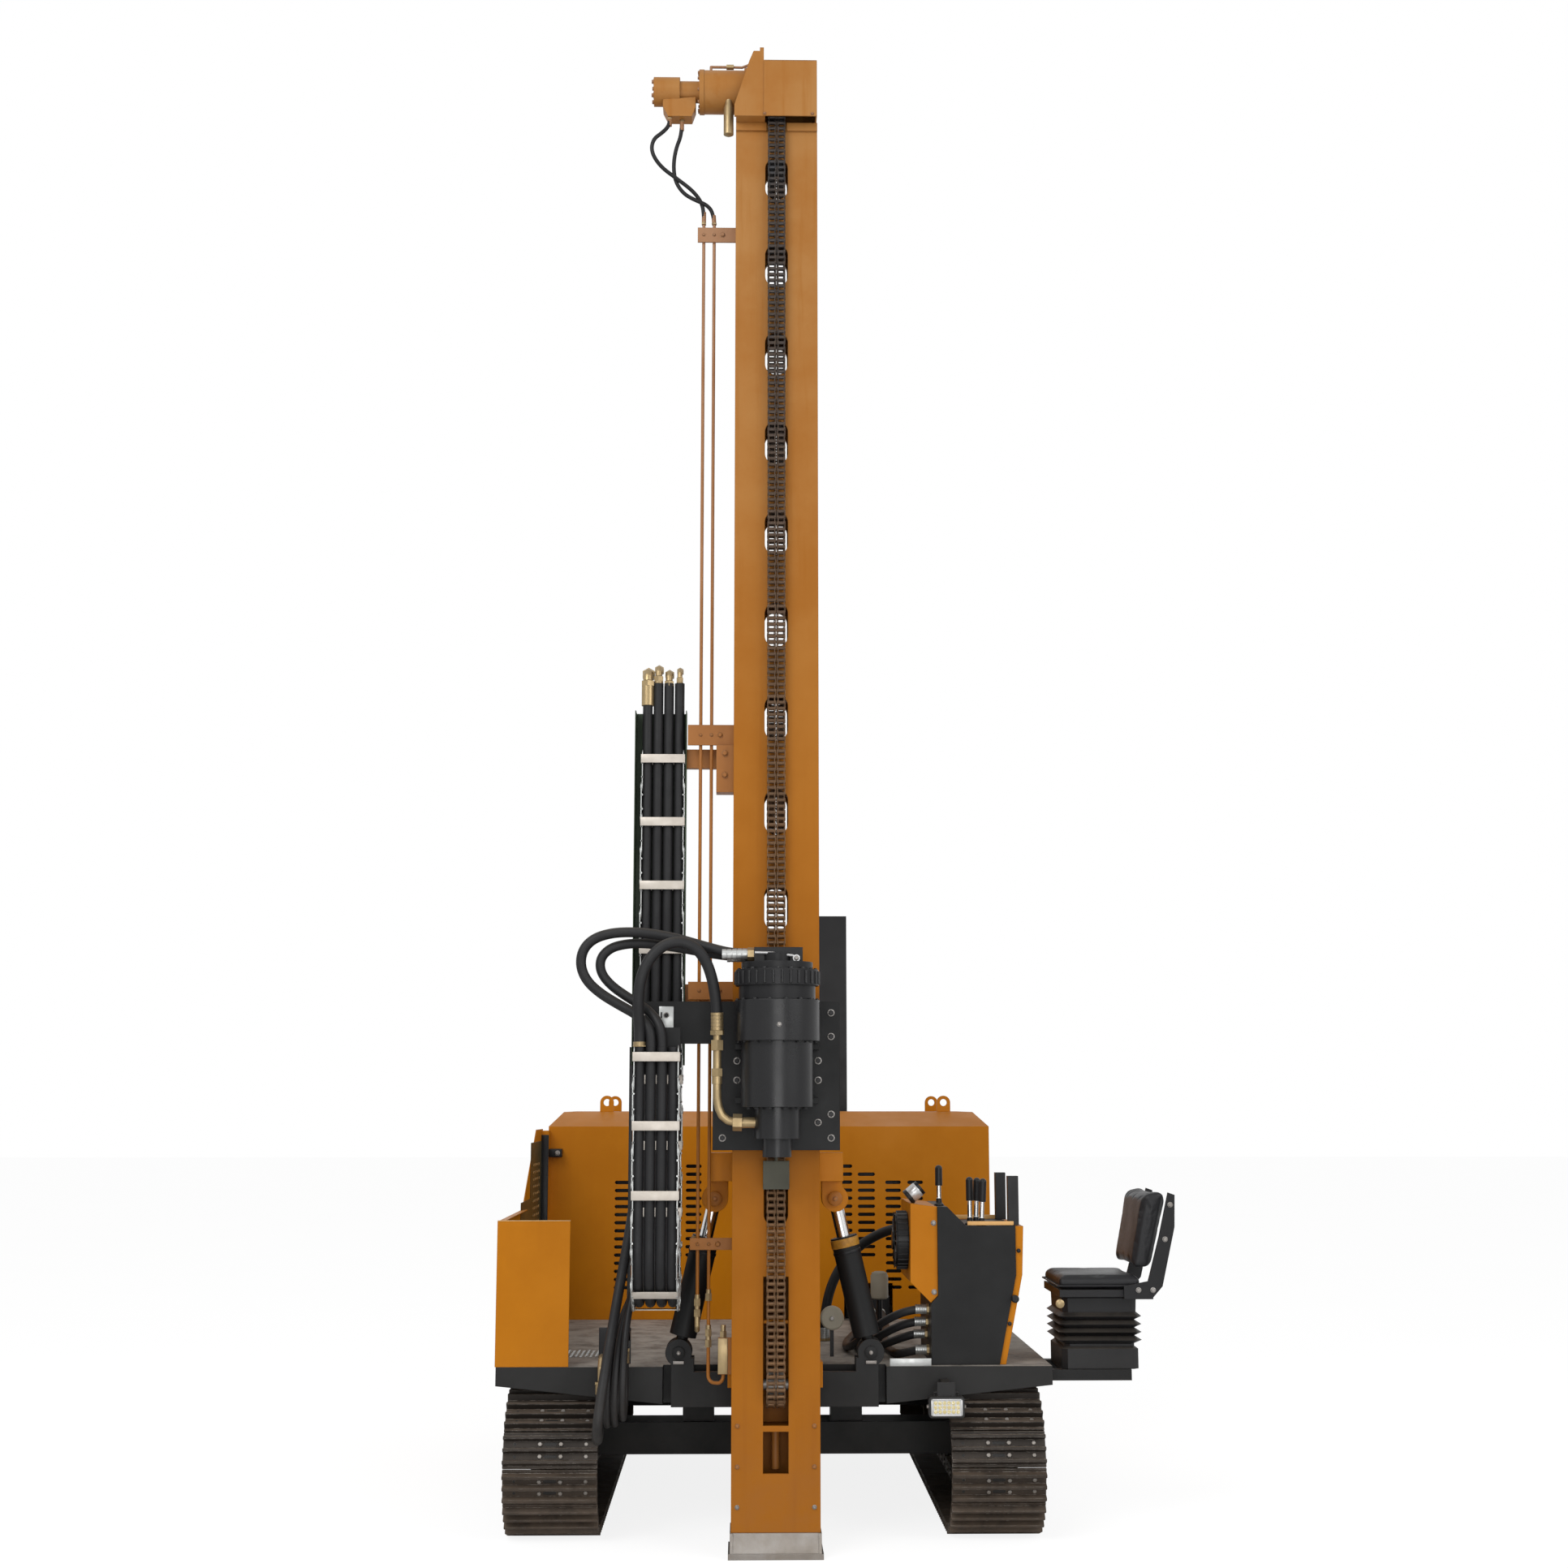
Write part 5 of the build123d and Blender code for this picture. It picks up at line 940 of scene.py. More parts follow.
HOSES = (
    Hose("top_hose_outer",
         [(-462, 30, 5964.6), (-462, 30, 5932), (-490, 15, 5890), (-532, -2, 5850), (-540, -5, 5790),
          (-500, 10, 5730),
          (-430, 40, 5690), (-362, 70, 5650), (-322, 92, 5605), (-313, 100, 5550), (-313, 100, 5505.3)],
         17, 606, "mast", "hanging", Finish.AMBER, (40, 60)),
    Hose("top_hose_inner",
         [(-410, 52, 5964.6), (-410, 52, 5900), (-436, 50, 5830), (-446, 50, 5750), (-436, 55, 5680),
          (-400, 62, 5630), (-350, 76, 5608), (-300, 90, 5594), (-272, 99, 5560), (-268, 100, 5505.3)],
         17, 556, "mast", "hanging", Finish.AMBER, (50, 45)),
    Hose("carriage_hose_arch",
         [(-536.7, -262, 1963.3), (-536.7, -262, 2008), (-538, -270, 2045), (-541, -284, 2090),
          (-541, -298, 2160),
          (-532, -302, 2228), (-508, -302, 2290), (-468, -302, 2340), (-418, -302, 2368), (-362, -300, 2370),
          (-312, -294, 2342), (-276, -284, 2292), (-254, -272, 2228), (-241, -262, 2156), (-235, -253, 2080),
          (-234, -248, 2010)], 44, 918, "carriage", "loose", Finish.BRASS, (20, 90)),
    Hose("carriage_hose_outer",
         [(-492, -262, 1963.3), (-492, -262, 2000), (-503, -256, 2042), (-546, -234, 2088),
          (-620, -222, 2128),
          (-694, -214, 2172), (-750, -211, 2222), (-776, -209, 2282), (-768, -208, 2344), (-728, -207, 2388),
          (-664, -207, 2410), (-590, -208, 2416), (-500, -214, 2410), (-390, -226, 2388), (-270, -242, 2352),
          (-170, -256, 2326), (-90.3, -256, 2326)], 40, 1228, "carriage", "loose", Finish.GALVANISED,
         (0, 130)),
    Hose("carriage_hose_inner",
         [(-448, -262, 1963.3), (-448, -262, 2008), (-466, -248, 2064), (-516, -216, 2116),
          (-590, -198, 2160),
          (-656, -187, 2206), (-698, -180, 2258), (-700, -176, 2314), (-662, -174, 2354), (-606, -174, 2370),
          (-540, -177, 2374), (-460, -183, 2366), (-370, -192, 2352), (-268, -204, 2332), (-170, -214, 2318),
          (-90.3, -214, 2318)], 38, 1103, "carriage", "loose", Finish.GALVANISED, (0, 110)),
    Hose("deck_hose_1",
         [(644.7, 430, 900), (590, 430, 900), (520, 450, 880), (450, 490, 840), (390, 550, 785),
          (345, 640, 735),
          (320, 760, 708), (318, 900, 703), (335, 1060, 703), (365, 1240, 703), (395, 1440, 703),
          (412, 1650, 703),
          (416, 1860, 706), (418, 2030, 722), (419, 2120, 731), (419, 2199.7, 731)], 34, 2002, "chassis"),
    Hose("deck_hose_2",
         [(644.7, 480, 845), (592, 480, 845), (525, 500, 825), (462, 540, 790), (410, 600, 750),
          (378, 690, 718),
          (366, 800, 704), (368, 930, 703), (385, 1090, 703), (412, 1270, 703), (440, 1460, 703),
          (458, 1660, 703),
          (463, 1870, 706), (465, 2030, 718), (466, 2120, 726), (466, 2199.7, 726)], 34, 1912, "chassis"),
    Hose("deck_hose_3",
         [(644.7, 530, 790), (595, 530, 790), (535, 552, 770), (480, 590, 745), (440, 650, 722),
          (418, 740, 706),
          (412, 850, 703), (418, 980, 703), (436, 1130, 703), (462, 1300, 703), (486, 1490, 703),
          (502, 1690, 703),
          (507, 1890, 706), (510, 2030, 714), (511, 2120, 720), (511, 2199.7, 720)], 34, 1820, "chassis"),
    Hose("deck_hose_4",
         [(644.7, 440, 735), (600, 440, 735), (560, 470, 722), (530, 520, 710), (512, 600, 703),
          (500, 700, 703),
          (492, 820, 703), (490, 960, 703), (500, 1120, 703), (518, 1300, 703), (536, 1490, 703),
          (548, 1690, 703),
          (554, 1890, 706), (557, 2030, 712), (558, 2120, 716), (558, 2199.7, 716)], 34, 1839, "chassis"),
    Hose("deck_hose_arc",
         [(600, 850.3, 1200), (599, 930, 1200), (584, 1014, 1198), (548, 1092, 1188), (490, 1156, 1164),
          (420, 1200, 1122), (352, 1222, 1062), (298, 1228, 988), (262, 1226, 904), (244, 1222, 818),
          (238, 1220, 746), (238, 1220, 685.3)], 44, 927, "chassis"),
    Hose("low_hose_big",
         [(-550, 228, 1930), (-550, 228, 1830), (-553, 228, 1620), (-566, 226, 1420), (-592, 212, 1230),
          (-622, 176, 1050), (-650, 118, 870), (-676, 52, 690), (-692, 4, 560), (-698, -8, 500),
          (-702, 26, 446),
          (-704, 100, 424), (-703, 168, 450), (-701, 196, 520), (-700, 200, 580), (-700, 200, 640)], 40, 1870,
         "mast", "hanging", Finish.BRASS, (0, 50), "fitting"),
    Hose("low_hose_1",
         [(-515, 228, 1930), (-515, 228, 1830), (-517, 228, 1600), (-524, 228, 1350), (-545, 224, 1140),
          (-578, 200, 990), (-598, 150, 860), (-604, 95, 730), (-606, 70, 620), (-607, 84, 540),
          (-607, 140, 500),
          (-606, 205, 512), (-605, 240, 570), (-605, 250, 660), (-605, 250, 765)], 28, 1806, "mast",
         "hanging", Finish.BRASS, (0, 60), "fitting"),
    Hose("low_hose_2",
         [(-482, 228, 1930), (-482, 228, 1830), (-484, 228, 1600), (-494, 228, 1350), (-528, 226, 1130),
          (-584, 212, 970), (-622, 160, 840), (-634, 100, 710), (-638, 70, 600), (-639, 82, 520),
          (-639, 140, 478),
          (-639, 208, 492), (-638, 242, 560), (-638, 250, 660), (-638, 250, 772)], 28, 1868, "mast",
         "hanging", Finish.BRASS, (0, 60), "fitting"),
    Hose("low_hose_3",
         [(-448, 228, 1930), (-448, 228, 1830), (-450, 228, 1600), (-462, 230, 1360), (-508, 230, 1130),
          (-590, 222, 960), (-646, 170, 820), (-664, 106, 690), (-668, 76, 590), (-669, 88, 512),
          (-669, 140, 474),
          (-669, 206, 490), (-668, 242, 560), (-668, 250, 660), (-668, 250, 765)], 28, 1880, "mast",
         "hanging", Finish.BRASS, (0, 60), "fitting"),
)
HOSE_NODES = {"top_hose_outer": "top_hoses", "carriage_hose_arch": "carriage_hoses",
              "deck_hose_1": "deck_hoses"}


@dataclass
class Tracks:
    """The crawler tracks: ridged shoes bolted to a chain of links, one loop on each side."""

    ridge: float = 0.025
    ridges: int = 3

    def _shoe(self) -> bpy.types.Mesh:
        """One shoe and its pair of links: its X runs along the track, its Y across it and its Z outwards."""
        shape = Shape("shoe", (Finish.TRACK, Finish.STEEL, Finish.BLACK))
        straight, half_turn = WHEEL_Y[1] - WHEEL_Y[0], math.pi * SHOE_OUT
        pitch = 2 * (straight + half_turn) / SHOE_COUNT
        half = pitch / 2 - 0.0015
        plate = SHOE_OUT - SHOE_IN
        shape.box((-half, -SHOE_HALF, -plate), (half, SHOE_HALF, 0.0), bevel=0.002, segments=1)
        step = pitch / self.ridges
        for i in range(self.ridges):
            x = (i - (self.ridges - 1) / 2) * step
            outline = [(x - 0.011, -0.001), (x - 0.0065, self.ridge), (x + 0.0065, self.ridge),
                       (x + 0.011, -0.001)]
            shape.plate(outline, "Y", -SHOE_HALF, SHOE_HALF, bevel=0.002)
        for x in (-step / 2, step / 2):
            turn = [math.pi * i / 4 - math.pi / 2 for i in range(5)]
            slot = [(x - 0.0065 * math.sin(a), 0.020 + 0.0065 * math.cos(a)) for a in turn]
            slot += [(x + 0.0065 * math.sin(a), -0.020 - 0.0065 * math.cos(a)) for a in turn]
            shape.plate(slot, "Z", 0.0, 0.0008, Finish.BLACK)
            for y in (-0.042, 0.042):
                shape.rod((x, y, 0.0), (x, y, 0.008), 0.0085, Finish.STEEL, 6)
            shape.rod((x, 0.143, 0.0), (x, 0.143, 0.004), 0.0080, Finish.STEEL, 6)
            shape.rod((x, -0.143, 0.0), (x, -0.143, 0.0008), 0.0065, Finish.BLACK, 6)
        for side in SIDES:
            depth = SHOE_OUT - RAIL_RADIUS
            reach = pitch / 2 + 0.010
            outline = [(-reach, -depth * 0.55), (-reach * 0.7, -depth), (reach * 0.7, -depth),
                       (reach, -depth * 0.55), (reach * 0.8, -plate), (-reach * 0.8, -plate)]
            low, high = sorted((side * 0.046, side * 0.070))
            shape.plate(outline, "Y", low, high)
            shape.rod((-pitch / 2, side * 0.030, -depth * 0.6), (-pitch / 2, side * 0.078, -depth * 0.6),
                      0.016, Finish.STEEL, 10)
        return shape.template()

    def _place(self, along: float, x: float) -> Matrix:
        """Where a shoe lies that far round the loop of the track at x."""
        straight, half_turn = WHEEL_Y[1] - WHEEL_Y[0], math.pi * SHOE_OUT
        along %= 2 * (straight + half_turn)
        if along < straight:
            centre, angle = Vector((x, WHEEL_Y[0] + along, TRACK_Z - SHOE_OUT)), -math.pi / 2
        elif along < straight + half_turn:
            angle = (along - straight) / SHOE_OUT - math.pi / 2
            centre = Vector((x, WHEEL_Y[1] + SHOE_OUT * math.cos(angle),
                             TRACK_Z + SHOE_OUT * math.sin(angle)))
        elif along < 2 * straight + half_turn:
            centre = Vector((x, WHEEL_Y[1] - (along - straight - half_turn), TRACK_Z + SHOE_OUT))
            angle = math.pi / 2
        else:
            angle = (along - 2 * straight - half_turn) / SHOE_OUT + math.pi / 2
            centre = Vector((x, WHEEL_Y[0] + SHOE_OUT * math.cos(angle),
                             TRACK_Z + SHOE_OUT * math.sin(angle)))
        out = Vector((0, math.cos(angle), math.sin(angle)))
        way = Vector((0, -math.sin(angle), math.cos(angle)))
        return place_at(centre, way, out.cross(way), out)

    def build(self, paintbox: Paintbox) -> None:
        """Lays the shoes round both loops, one piece a side."""
        template = self._shoe()
        pitch = 2 * (WHEEL_Y[1] - WHEEL_Y[0] + math.pi * SHOE_OUT) / SHOE_COUNT
        for side, word in zip(SIDES, ("left", "right")):
            shape = Shape(f"track_shoes_{word}", (Finish.TRACK, Finish.STEEL, Finish.BLACK))
            for i in range(SHOE_COUNT):
                shape.stamp(template, self._place((i + 0.5) * pitch, side * TRACK_X))
            shape.piece(paintbox, "chassis", f"track_{word}")
        bpy.data.meshes.remove(template)


@dataclass
class MastTop:
    """What is bolted to the feed drive and piped round it at the mast's head."""

    motor_end: float = -0.532
    flange: float = -0.334
    front: float = -0.076

    def build(self, paintbox: Paintbox) -> None:
        """Makes the bolts and the small pipework."""
        shape = Shape("drive_bolts", (Finish.AMBER,))
        for x, radius, count, across in ((self.motor_end, 0.044, 4, 0.018), (self.flange, 0.083, 10, 0.014)):
            for i in range(count):
                a = 2 * math.pi * (i + 0.5) / count
                shape.bolt((x, CHAIN_Y + radius * math.cos(a), SPROCKET_Z + radius * math.sin(a)), (-1, 0, 0),
                           across)
        for x in (-0.052, 0.152):
            shape.bolt((x, self.front, 5.936), (0, -1, 0), 0.010)
        shape.piece(paintbox, "mast")
        pipes = Shape("drive_pipes", (Finish.AMBER, Finish.BRASS))
        pipes.elbow([(-0.285, CHAIN_Y, 6.18), (-0.285, CHAIN_Y, 6.212), (-0.205, CHAIN_Y, 6.212)], 0.006)
        pipes.rod((-0.218, CHAIN_Y, 6.212), (-0.186, CHAIN_Y, 6.212), 0.013, Finish.BRASS, 6)
        pipes.elbow([(-0.19, CHAIN_Y, 6.212), (-0.15, 0.046, 6.208), (-0.11, 0.03, 6.216),
                     (-0.085, 0.012, 6.236), (-0.066, -0.01, 6.239)], 0.0055)
        pipes.turned((-0.207, 0.0, 5.868), (0, 0, 1), [(0.0, 0.011), (0.006, 0.0215), (0.128, 0.0215),
                                                      (0.140, 0.017), (0.170, 0.015)], Finish.BRASS, 24)
        pipes.piece(paintbox, "mast")


@dataclass
class MastFittings:
    """Bolts, pipe clamps and couplings down the mast, and the hose elbows at the trough's top."""

    pipe_x: tuple[float, ...] = (-0.313, -0.268)
    bracket_y: float = 0.0847
    bracket_z: tuple[float, ...] = (5.455, 3.260, 2.200, 1.188)

    def build(self, paintbox: Paintbox) -> None:
        """Makes the fittings."""
        bolts = Shape("mast_bolts", (Finish.AMBER, Finish.STEEL))
        for z in (0.496, 0.342, 0.190):
            for side in SIDES:
                bolts.bolt((side * 0.151, 0.0, z), (0, -1, 0), 0.013,
                           Finish.STEEL if z < 0.2 else Finish.AMBER)
        for z in (3.179, 3.088):
            bolts.bolt((-0.212, 0.060, z), (0, -1, 0), 0.020)
        for z in self.bracket_z:
            bolts.bolt((-0.232, self.bracket_y, z), (0, -1, 0), 0.016)
        bolts.piece(paintbox, "mast")
        clamps = Shape("pipe_clamps", (Finish.AMBER, Finish.BRASS))
        for z in self.bracket_z:
            for x in self.pipe_x:
                clamps.box((x - 0.015, 0.0895, z - 0.018), (x + 0.015, 0.116, z + 0.018), bevel=0.004)
                clamps.bolt((x, self.bracket_y, z), (0, -1, 0), 0.010)
        for x, places in ((self.pipe_x[0], (0.918, 0.960)), (self.pipe_x[1], (0.800, 0.842, 0.980))):
            for z in places:
                clamps.rod((x, 0.1, z - 0.014), (x, 0.1, z + 0.014), 0.0145, Finish.BRASS, 6)
                clamps.rod((x, 0.1, z + 0.012), (x, 0.1, z + 0.030), 0.0105, Finish.BRASS, 16)
        clamps.elbow([(-0.313, 0.1, 0.905), (-0.313, 0.1, 0.868), (-0.313, 0.118, 0.850),
                      (-0.313, 0.150, 0.850)],
                     0.0105, Finish.BRASS)
        clamps.box((-0.229, 0.0405, 0.688), (-0.190, 0.0446, 0.826), Finish.BRASS, 0.002)
        clamps.rod((-0.208, 0.060, 0.826), (-0.208, 0.060, 0.852), 0.015, Finish.BRASS, 6)
        clamps.rod((-0.208, 0.060, 0.850), (-0.208, 0.060, 0.876), 0.010, Finish.BRASS, 16)
        clamps.rod((0.0, 0.105, 0.318), (0.0, 0.105, 0.472), 0.016)
        clamps.piece(paintbox, "mast")
        elbows = Shape("drag_hose_elbows", (Finish.BRASS,))
        for i, x in enumerate(DRAG_HOSE_X):
            radius, top = ((0.0210, 3.500), (0.0150, 3.520), (0.0150, 3.500), (0.0110, 3.515))[i]
            elbows.rod((x, DRAG_REAR_Y, 3.395), (x, DRAG_REAR_Y, top - 0.020), radius * 1.25, sides=24)
            elbows.rod((x, DRAG_REAR_Y, top - 0.022), (x, DRAG_REAR_Y, top), radius * 1.4, sides=6)
            elbows.elbow([(x, DRAG_REAR_Y, top), (x, 0.153, top + 0.020), (x, 0.166, top + 0.034),
                          (x, 0.186, top + 0.040), (x, 0.212, top + 0.040)], radius)
            elbows.rod((x, 0.200, top + 0.040), (x, 0.232, top + 0.040), radius * 1.4, sides=6)
        elbows.piece(paintbox, "mast")


@dataclass
class HoseBracket:
    """The clamp behind the cable trough, and the strap and bulkhead that the low hose loops end in."""

    clamp_z: float = 1.930
    plate_y: tuple[float, float] = (0.268, 0.276)

    def build(self, paintbox: Paintbox) -> None:
        """Makes the clamp, strap and bulkhead with its elbows."""
        shape = Shape("hose_bulkhead", (Finish.BLACK, Finish.BRASS, Finish.STEEL))
        shape.box((-0.585, 0.2045, self.clamp_z), (-0.405, 0.250, self.clamp_z + 0.045), bevel=0.004)
        shape.box((-0.600, 0.2045, 0.800), (-0.585, 0.2125, self.clamp_z + 0.045))
        shape.box((-0.600, 0.2045, 0.800), (-0.585, self.plate_y[1], 0.830))
        shape.box((-0.715, self.plate_y[0], 0.700), (-0.585, self.plate_y[1], 0.845), bevel=0.003)
        for x, z in ((-0.605, 0.765), (-0.638, 0.772), (-0.668, 0.765), (-0.700, 0.640)):
            top = z + 0.028
            if z > 0.7:
                shape.elbow([(x, 0.250, z), (x, 0.250, top), (x, 0.270, top + 0.006)], 0.011, Finish.BRASS)
            else:
                shape.elbow([(x, 0.200, z), (x, 0.200, 0.690), (x, 0.225, 0.720), (x, 0.270, 0.728)], 0.014,
                            Finish.BRASS)
        for x in (-0.570, -0.425):
            shape.bolt((x, 0.250, self.clamp_z + 0.022), (0, 1, 0), 0.014, Finish.STEEL)
        shape.piece(paintbox, "mast")


@dataclass
class CarriageFittings:
    """Bolts of the carriage and the rotary head, and the small pipes round the head."""

    plate_bolts: tuple[tuple[float, float], ...] = (
        (0.219, 2.104), (0.219, 2.010), (-0.157, 1.913), (0.167, 1.914), (-0.157, 1.837), (0.167, 1.837),
        (0.218, 1.703), (0.166, 1.671), (-0.214, 1.610), (0.218, 1.610))
    rings: tuple[tuple[float, float, int, float, int], ...] = (
        (2.144, 0.1585, 16, 0.013, 1), (2.262, 0.1515, 18, 0.014, 1), (1.986, 0.1535, 16, 0.013, -1),
        (1.732, 0.1130, 12, 0.018, -1))

    def build(self, paintbox: Paintbox) -> None:
        """Makes the fittings."""
        plate = Shape("carriage_bolts", (Finish.STEEL, Finish.GALVANISED, Finish.BLACK))
        for x, z in self.plate_bolts:
            plate.bolt((x, -0.072, z), (0, -1, 0), 0.020, Finish.BLACK, Finish.STEEL)
        plate.box((-0.469, -0.0785, 1.992), (-0.410, -0.0715, 2.129), Finish.GALVANISED, 0.002)
        for z in (2.028, 2.094):
            plate.bolt((-0.440, -0.0785, z), (0, -1, 0), 0.016, Finish.BLACK, Finish.STEEL)
            plate.box((-0.462, -0.0788, z - 0.012), (-0.456, -0.0780, z + 0.012), Finish.BLACK)
        plate.piece(paintbox, "carriage")
        head = Shape("head_bolts", (Finish.STEEL, Finish.CAST, Finish.SILVER))
        for z, radius, count, across, way in self.rings:
            for i in range(count):
                a = 2 * math.pi * (i + 0.5) / count
                head.bolt((radius * math.cos(a), HEAD_Y + radius * math.sin(a), z), (0, 0, way), across,
                          Finish.CAST)
        for i in range(30):
            a = 2 * math.pi * i / 30
            x, y = 0.1635 * math.cos(a), HEAD_Y + 0.1635 * math.sin(a)
            head.rod((x, y, 2.206), (x, y, 2.256), 0.0055, Finish.CAST, 8)
        head.bolt((0.006, HEAD_Y - 0.167, 2.046), (0, -1, 0), 0.013)
        head.elbow([(-0.088, -0.285, 2.330), (-0.020, -0.288, 2.328), (0.060, -0.287, 2.318),
                    (0.072, -0.284, 2.310)],
                   0.0055, Finish.SILVER)
        head.rod((0.075, -0.276, 2.308), (0.075, -0.293, 2.308), 0.014, Finish.SILVER, 20)
        head.bolt((0.075, -0.293, 2.308), (0, -1, 0), 0.014)
        head.piece(paintbox, "carriage")
        pipe = Shape("head_drain_pipe", (Finish.BRASS,))
        pipe.elbow([(-0.234, -0.248, 2.010), (-0.234, -0.248, 1.800), (-0.233, -0.248, 1.765),
                    (-0.227, -0.248, 1.728), (-0.213, -0.247, 1.698), (-0.190, -0.247, 1.680),
                    (-0.162, -0.246, 1.673), (-0.080, -0.246, 1.672)], 0.0165)
        pipe.rod((-0.234, -0.248, 1.990), (-0.234, -0.248, 1.950), 0.027, sides=6)
        pipe.rod((-0.234, -0.248, 1.880), (-0.234, -0.248, 1.850), 0.024, sides=6)
        pipe.rod((-0.234, -0.248, 1.855), (-0.234, -0.248, 1.820), 0.020, sides=20)
        pipe.rod((-0.172, -0.246, 1.673), (-0.136, -0.246, 1.672), 0.033, sides=6)
        pipe.rod((-0.138, -0.246, 1.672), (-0.084, -0.246, 1.672), 0.021, sides=20)
        pipe.piece(paintbox, "carriage")


@dataclass
class SwingGear:
    """Pin caps, keeper plates and gland bands of the two swing cylinders."""

    top: tuple[float, float] = (0.246, 1.360)
    low: tuple[float, float] = (0.390, 0.747)
    plane_y: float = 0.290

    def build(self, paintbox: Paintbox) -> None:
        """Makes the parts of both sides."""
        caps = Shape("swing_pin_caps", (Finish.AMBER,))
        keepers = Shape("swing_keepers", (Finish.CHARCOAL, Finish.STEEL))
        for side, word in zip(SIDES, ("left", "right")):
            x, z = side * self.top[0], self.top[1]
            caps.turned((x, 0.2262, z), (0, -1, 0), [(0.0, 0.030), (0.003, 0.030), (0.005, 0.027)], sides=28)
            caps.bolt((x, 0.2215, z), (0, -1, 0), 0.014)
            x, z = side * self.low[0], self.low[1]
            keepers.turned((x, 0.2360, z), (0, -1, 0), [(0.0, 0.026), (0.003, 0.026), (0.004, 0.024)],
                           sides=24)
            keepers.bolt((x, 0.2320, z), (0, -1, 0), 0.011, Finish.STEEL)
            keepers.box((x - 0.022, 0.2300, z - 0.044), (x + 0.022, 0.2335, z - 0.031), Finish.STEEL, 0.001)
            low = Vector((side * self.low[0], self.plane_y, self.low[1]))
            way = (Vector((side * self.top[0], self.plane_y, self.top[1])) - low).normalized()
            gland = Shape(f"swing_gland_{word}", (Finish.TAPE, Finish.BLACK))
            gland.turned(tuple(low), tuple(way),
                         [(0.428, 0.0565), (0.430, 0.0578), (0.462, 0.0578), (0.464, 0.0565)], sides=32)
            gland.turned(tuple(low), tuple(way),
                         [(0.400, 0.0560), (0.402, 0.0575), (0.412, 0.0575), (0.414, 0.0560)],
                         Finish.BLACK, 32)
            gland.piece(paintbox, f"swing_barrel_{word}")
        caps.piece(paintbox, "swing_frame")
        keepers.piece(paintbox, "luff_frame")


@dataclass
class DeckFront:
    """The small gear on the deck: the edge strip, the filter bowl, the dryer can and the tread patch."""

    can: tuple[float, float] = (0.467, 0.880)

    def build(self, paintbox: Paintbox) -> None:
        """Makes the pieces that stand on the deck."""
        shape = Shape("deck_small_gear", (Finish.GALVANISED, Finish.BEIGE, Finish.BLACK, Finish.STEEL))
        shape.box((0.470, 0.3005, DECK_Z), (0.640, 0.306, 0.716), bevel=0.001)
        x, y = self.can
        shape.rod((x, y, DECK_Z), (x, y, 0.905), 0.012, Finish.BLACK, 12)
        shape.turned((x, y, 0.900), (0, 0, 1),
                     [(0.0, 0.030), (0.006, 0.0385), (0.100, 0.0385), (0.106, 0.034),
                                                (0.112, 0.034), (0.118, 0.020)], Finish.BEIGE, 28)
        shape.box((0.240, 0.636, DECK_Z), (0.256, 0.646, 0.850), Finish.BLACK)
        shape.turned((0.248, 0.636, 0.846), (0, -1, 0),
                     [(0.0, 0.040), (0.006, 0.050), (0.030, 0.050), (0.036, 0.044)], Finish.BEIGE, 28)
        shape.bolt((0.248, 0.602, 0.846), (0, -1, 0), 0.018, Finish.STEEL)
        for row in range(6):
            for i in range(9):
                x, y = -0.905 + 0.021 * i, 0.62 + 0.040 * row + 0.020 * (i % 2)
                shape.rod((x, y, DECK_Z), (x + 0.010, y + 0.012, DECK_Z + 0.0015), 0.004, sides=6)
        shape.piece(paintbox, "chassis")


@dataclass
class GuardTrim:
    """The guard's bent pale edge, its dark lining with pale dots, its post and the bracket on the hood."""

    edge_x: float = -1.139

    def build(self, paintbox: Paintbox) -> None:
        """Makes the trim."""
        shape = Shape("guard_trim", (Finish.PALE, Finish.BLACK, Finish.STEEL, Finish.OLIVE))
        shape.box((self.edge_x, 0.3008, 1.2662), (-0.840, 0.3120, 1.2700), bevel=0.0008)
        shape.box((self.edge_x, 2.0730, DECK_Z), (-1.0980, 2.0796, 1.590), Finish.BLACK, 0.002)
        shape.box((-1.0990, 2.090, 1.480), (-1.0350, 2.1578, 1.520), Finish.BLACK, 0.002)
        shape.bolt((-1.055, 2.090, 1.500), (0, -1, 0), 0.018, Finish.STEEL)
        shape.box((-1.1348, 1.150, 0.720), (-1.1330, 2.072, 1.300), Finish.OLIVE)
        shape.box((-1.1348, 1.560, 1.300), (-1.1330, 2.072, 1.560), Finish.OLIVE)
        for row in range(9):
            for i in range(5):
                y, z = 1.700 + 0.066 * i, 1.180 + 0.034 * row
                shape.rod((-1.1335, y, z), (-1.1315, y, z), 0.007, sides=6)
        shape.piece(paintbox, "chassis")


@dataclass
class HoodScreen:
    """The dark screen close behind the hood's front louvres, open round the hose manifold."""

    y: tuple[float, float] = (2.235, 2.243)
    # each panel's left, bottom, right and top
    panels: tuple[tuple[float, float, float, float], ...] = (
        (-1.070, 0.700, -0.430, 1.600), (0.630, 0.700, 1.070, 1.600), (-0.430, 0.880, 0.630, 1.600))

    def build(self, paintbox: Paintbox) -> None:
        """Makes the screen."""
        shape = Shape("hood_screen", (Finish.BLACK,))
        for left, bottom, right, top in self.panels:
            shape.box((left, self.y[0], bottom), (right, self.y[1], top))
        shape.piece(paintbox, "chassis")


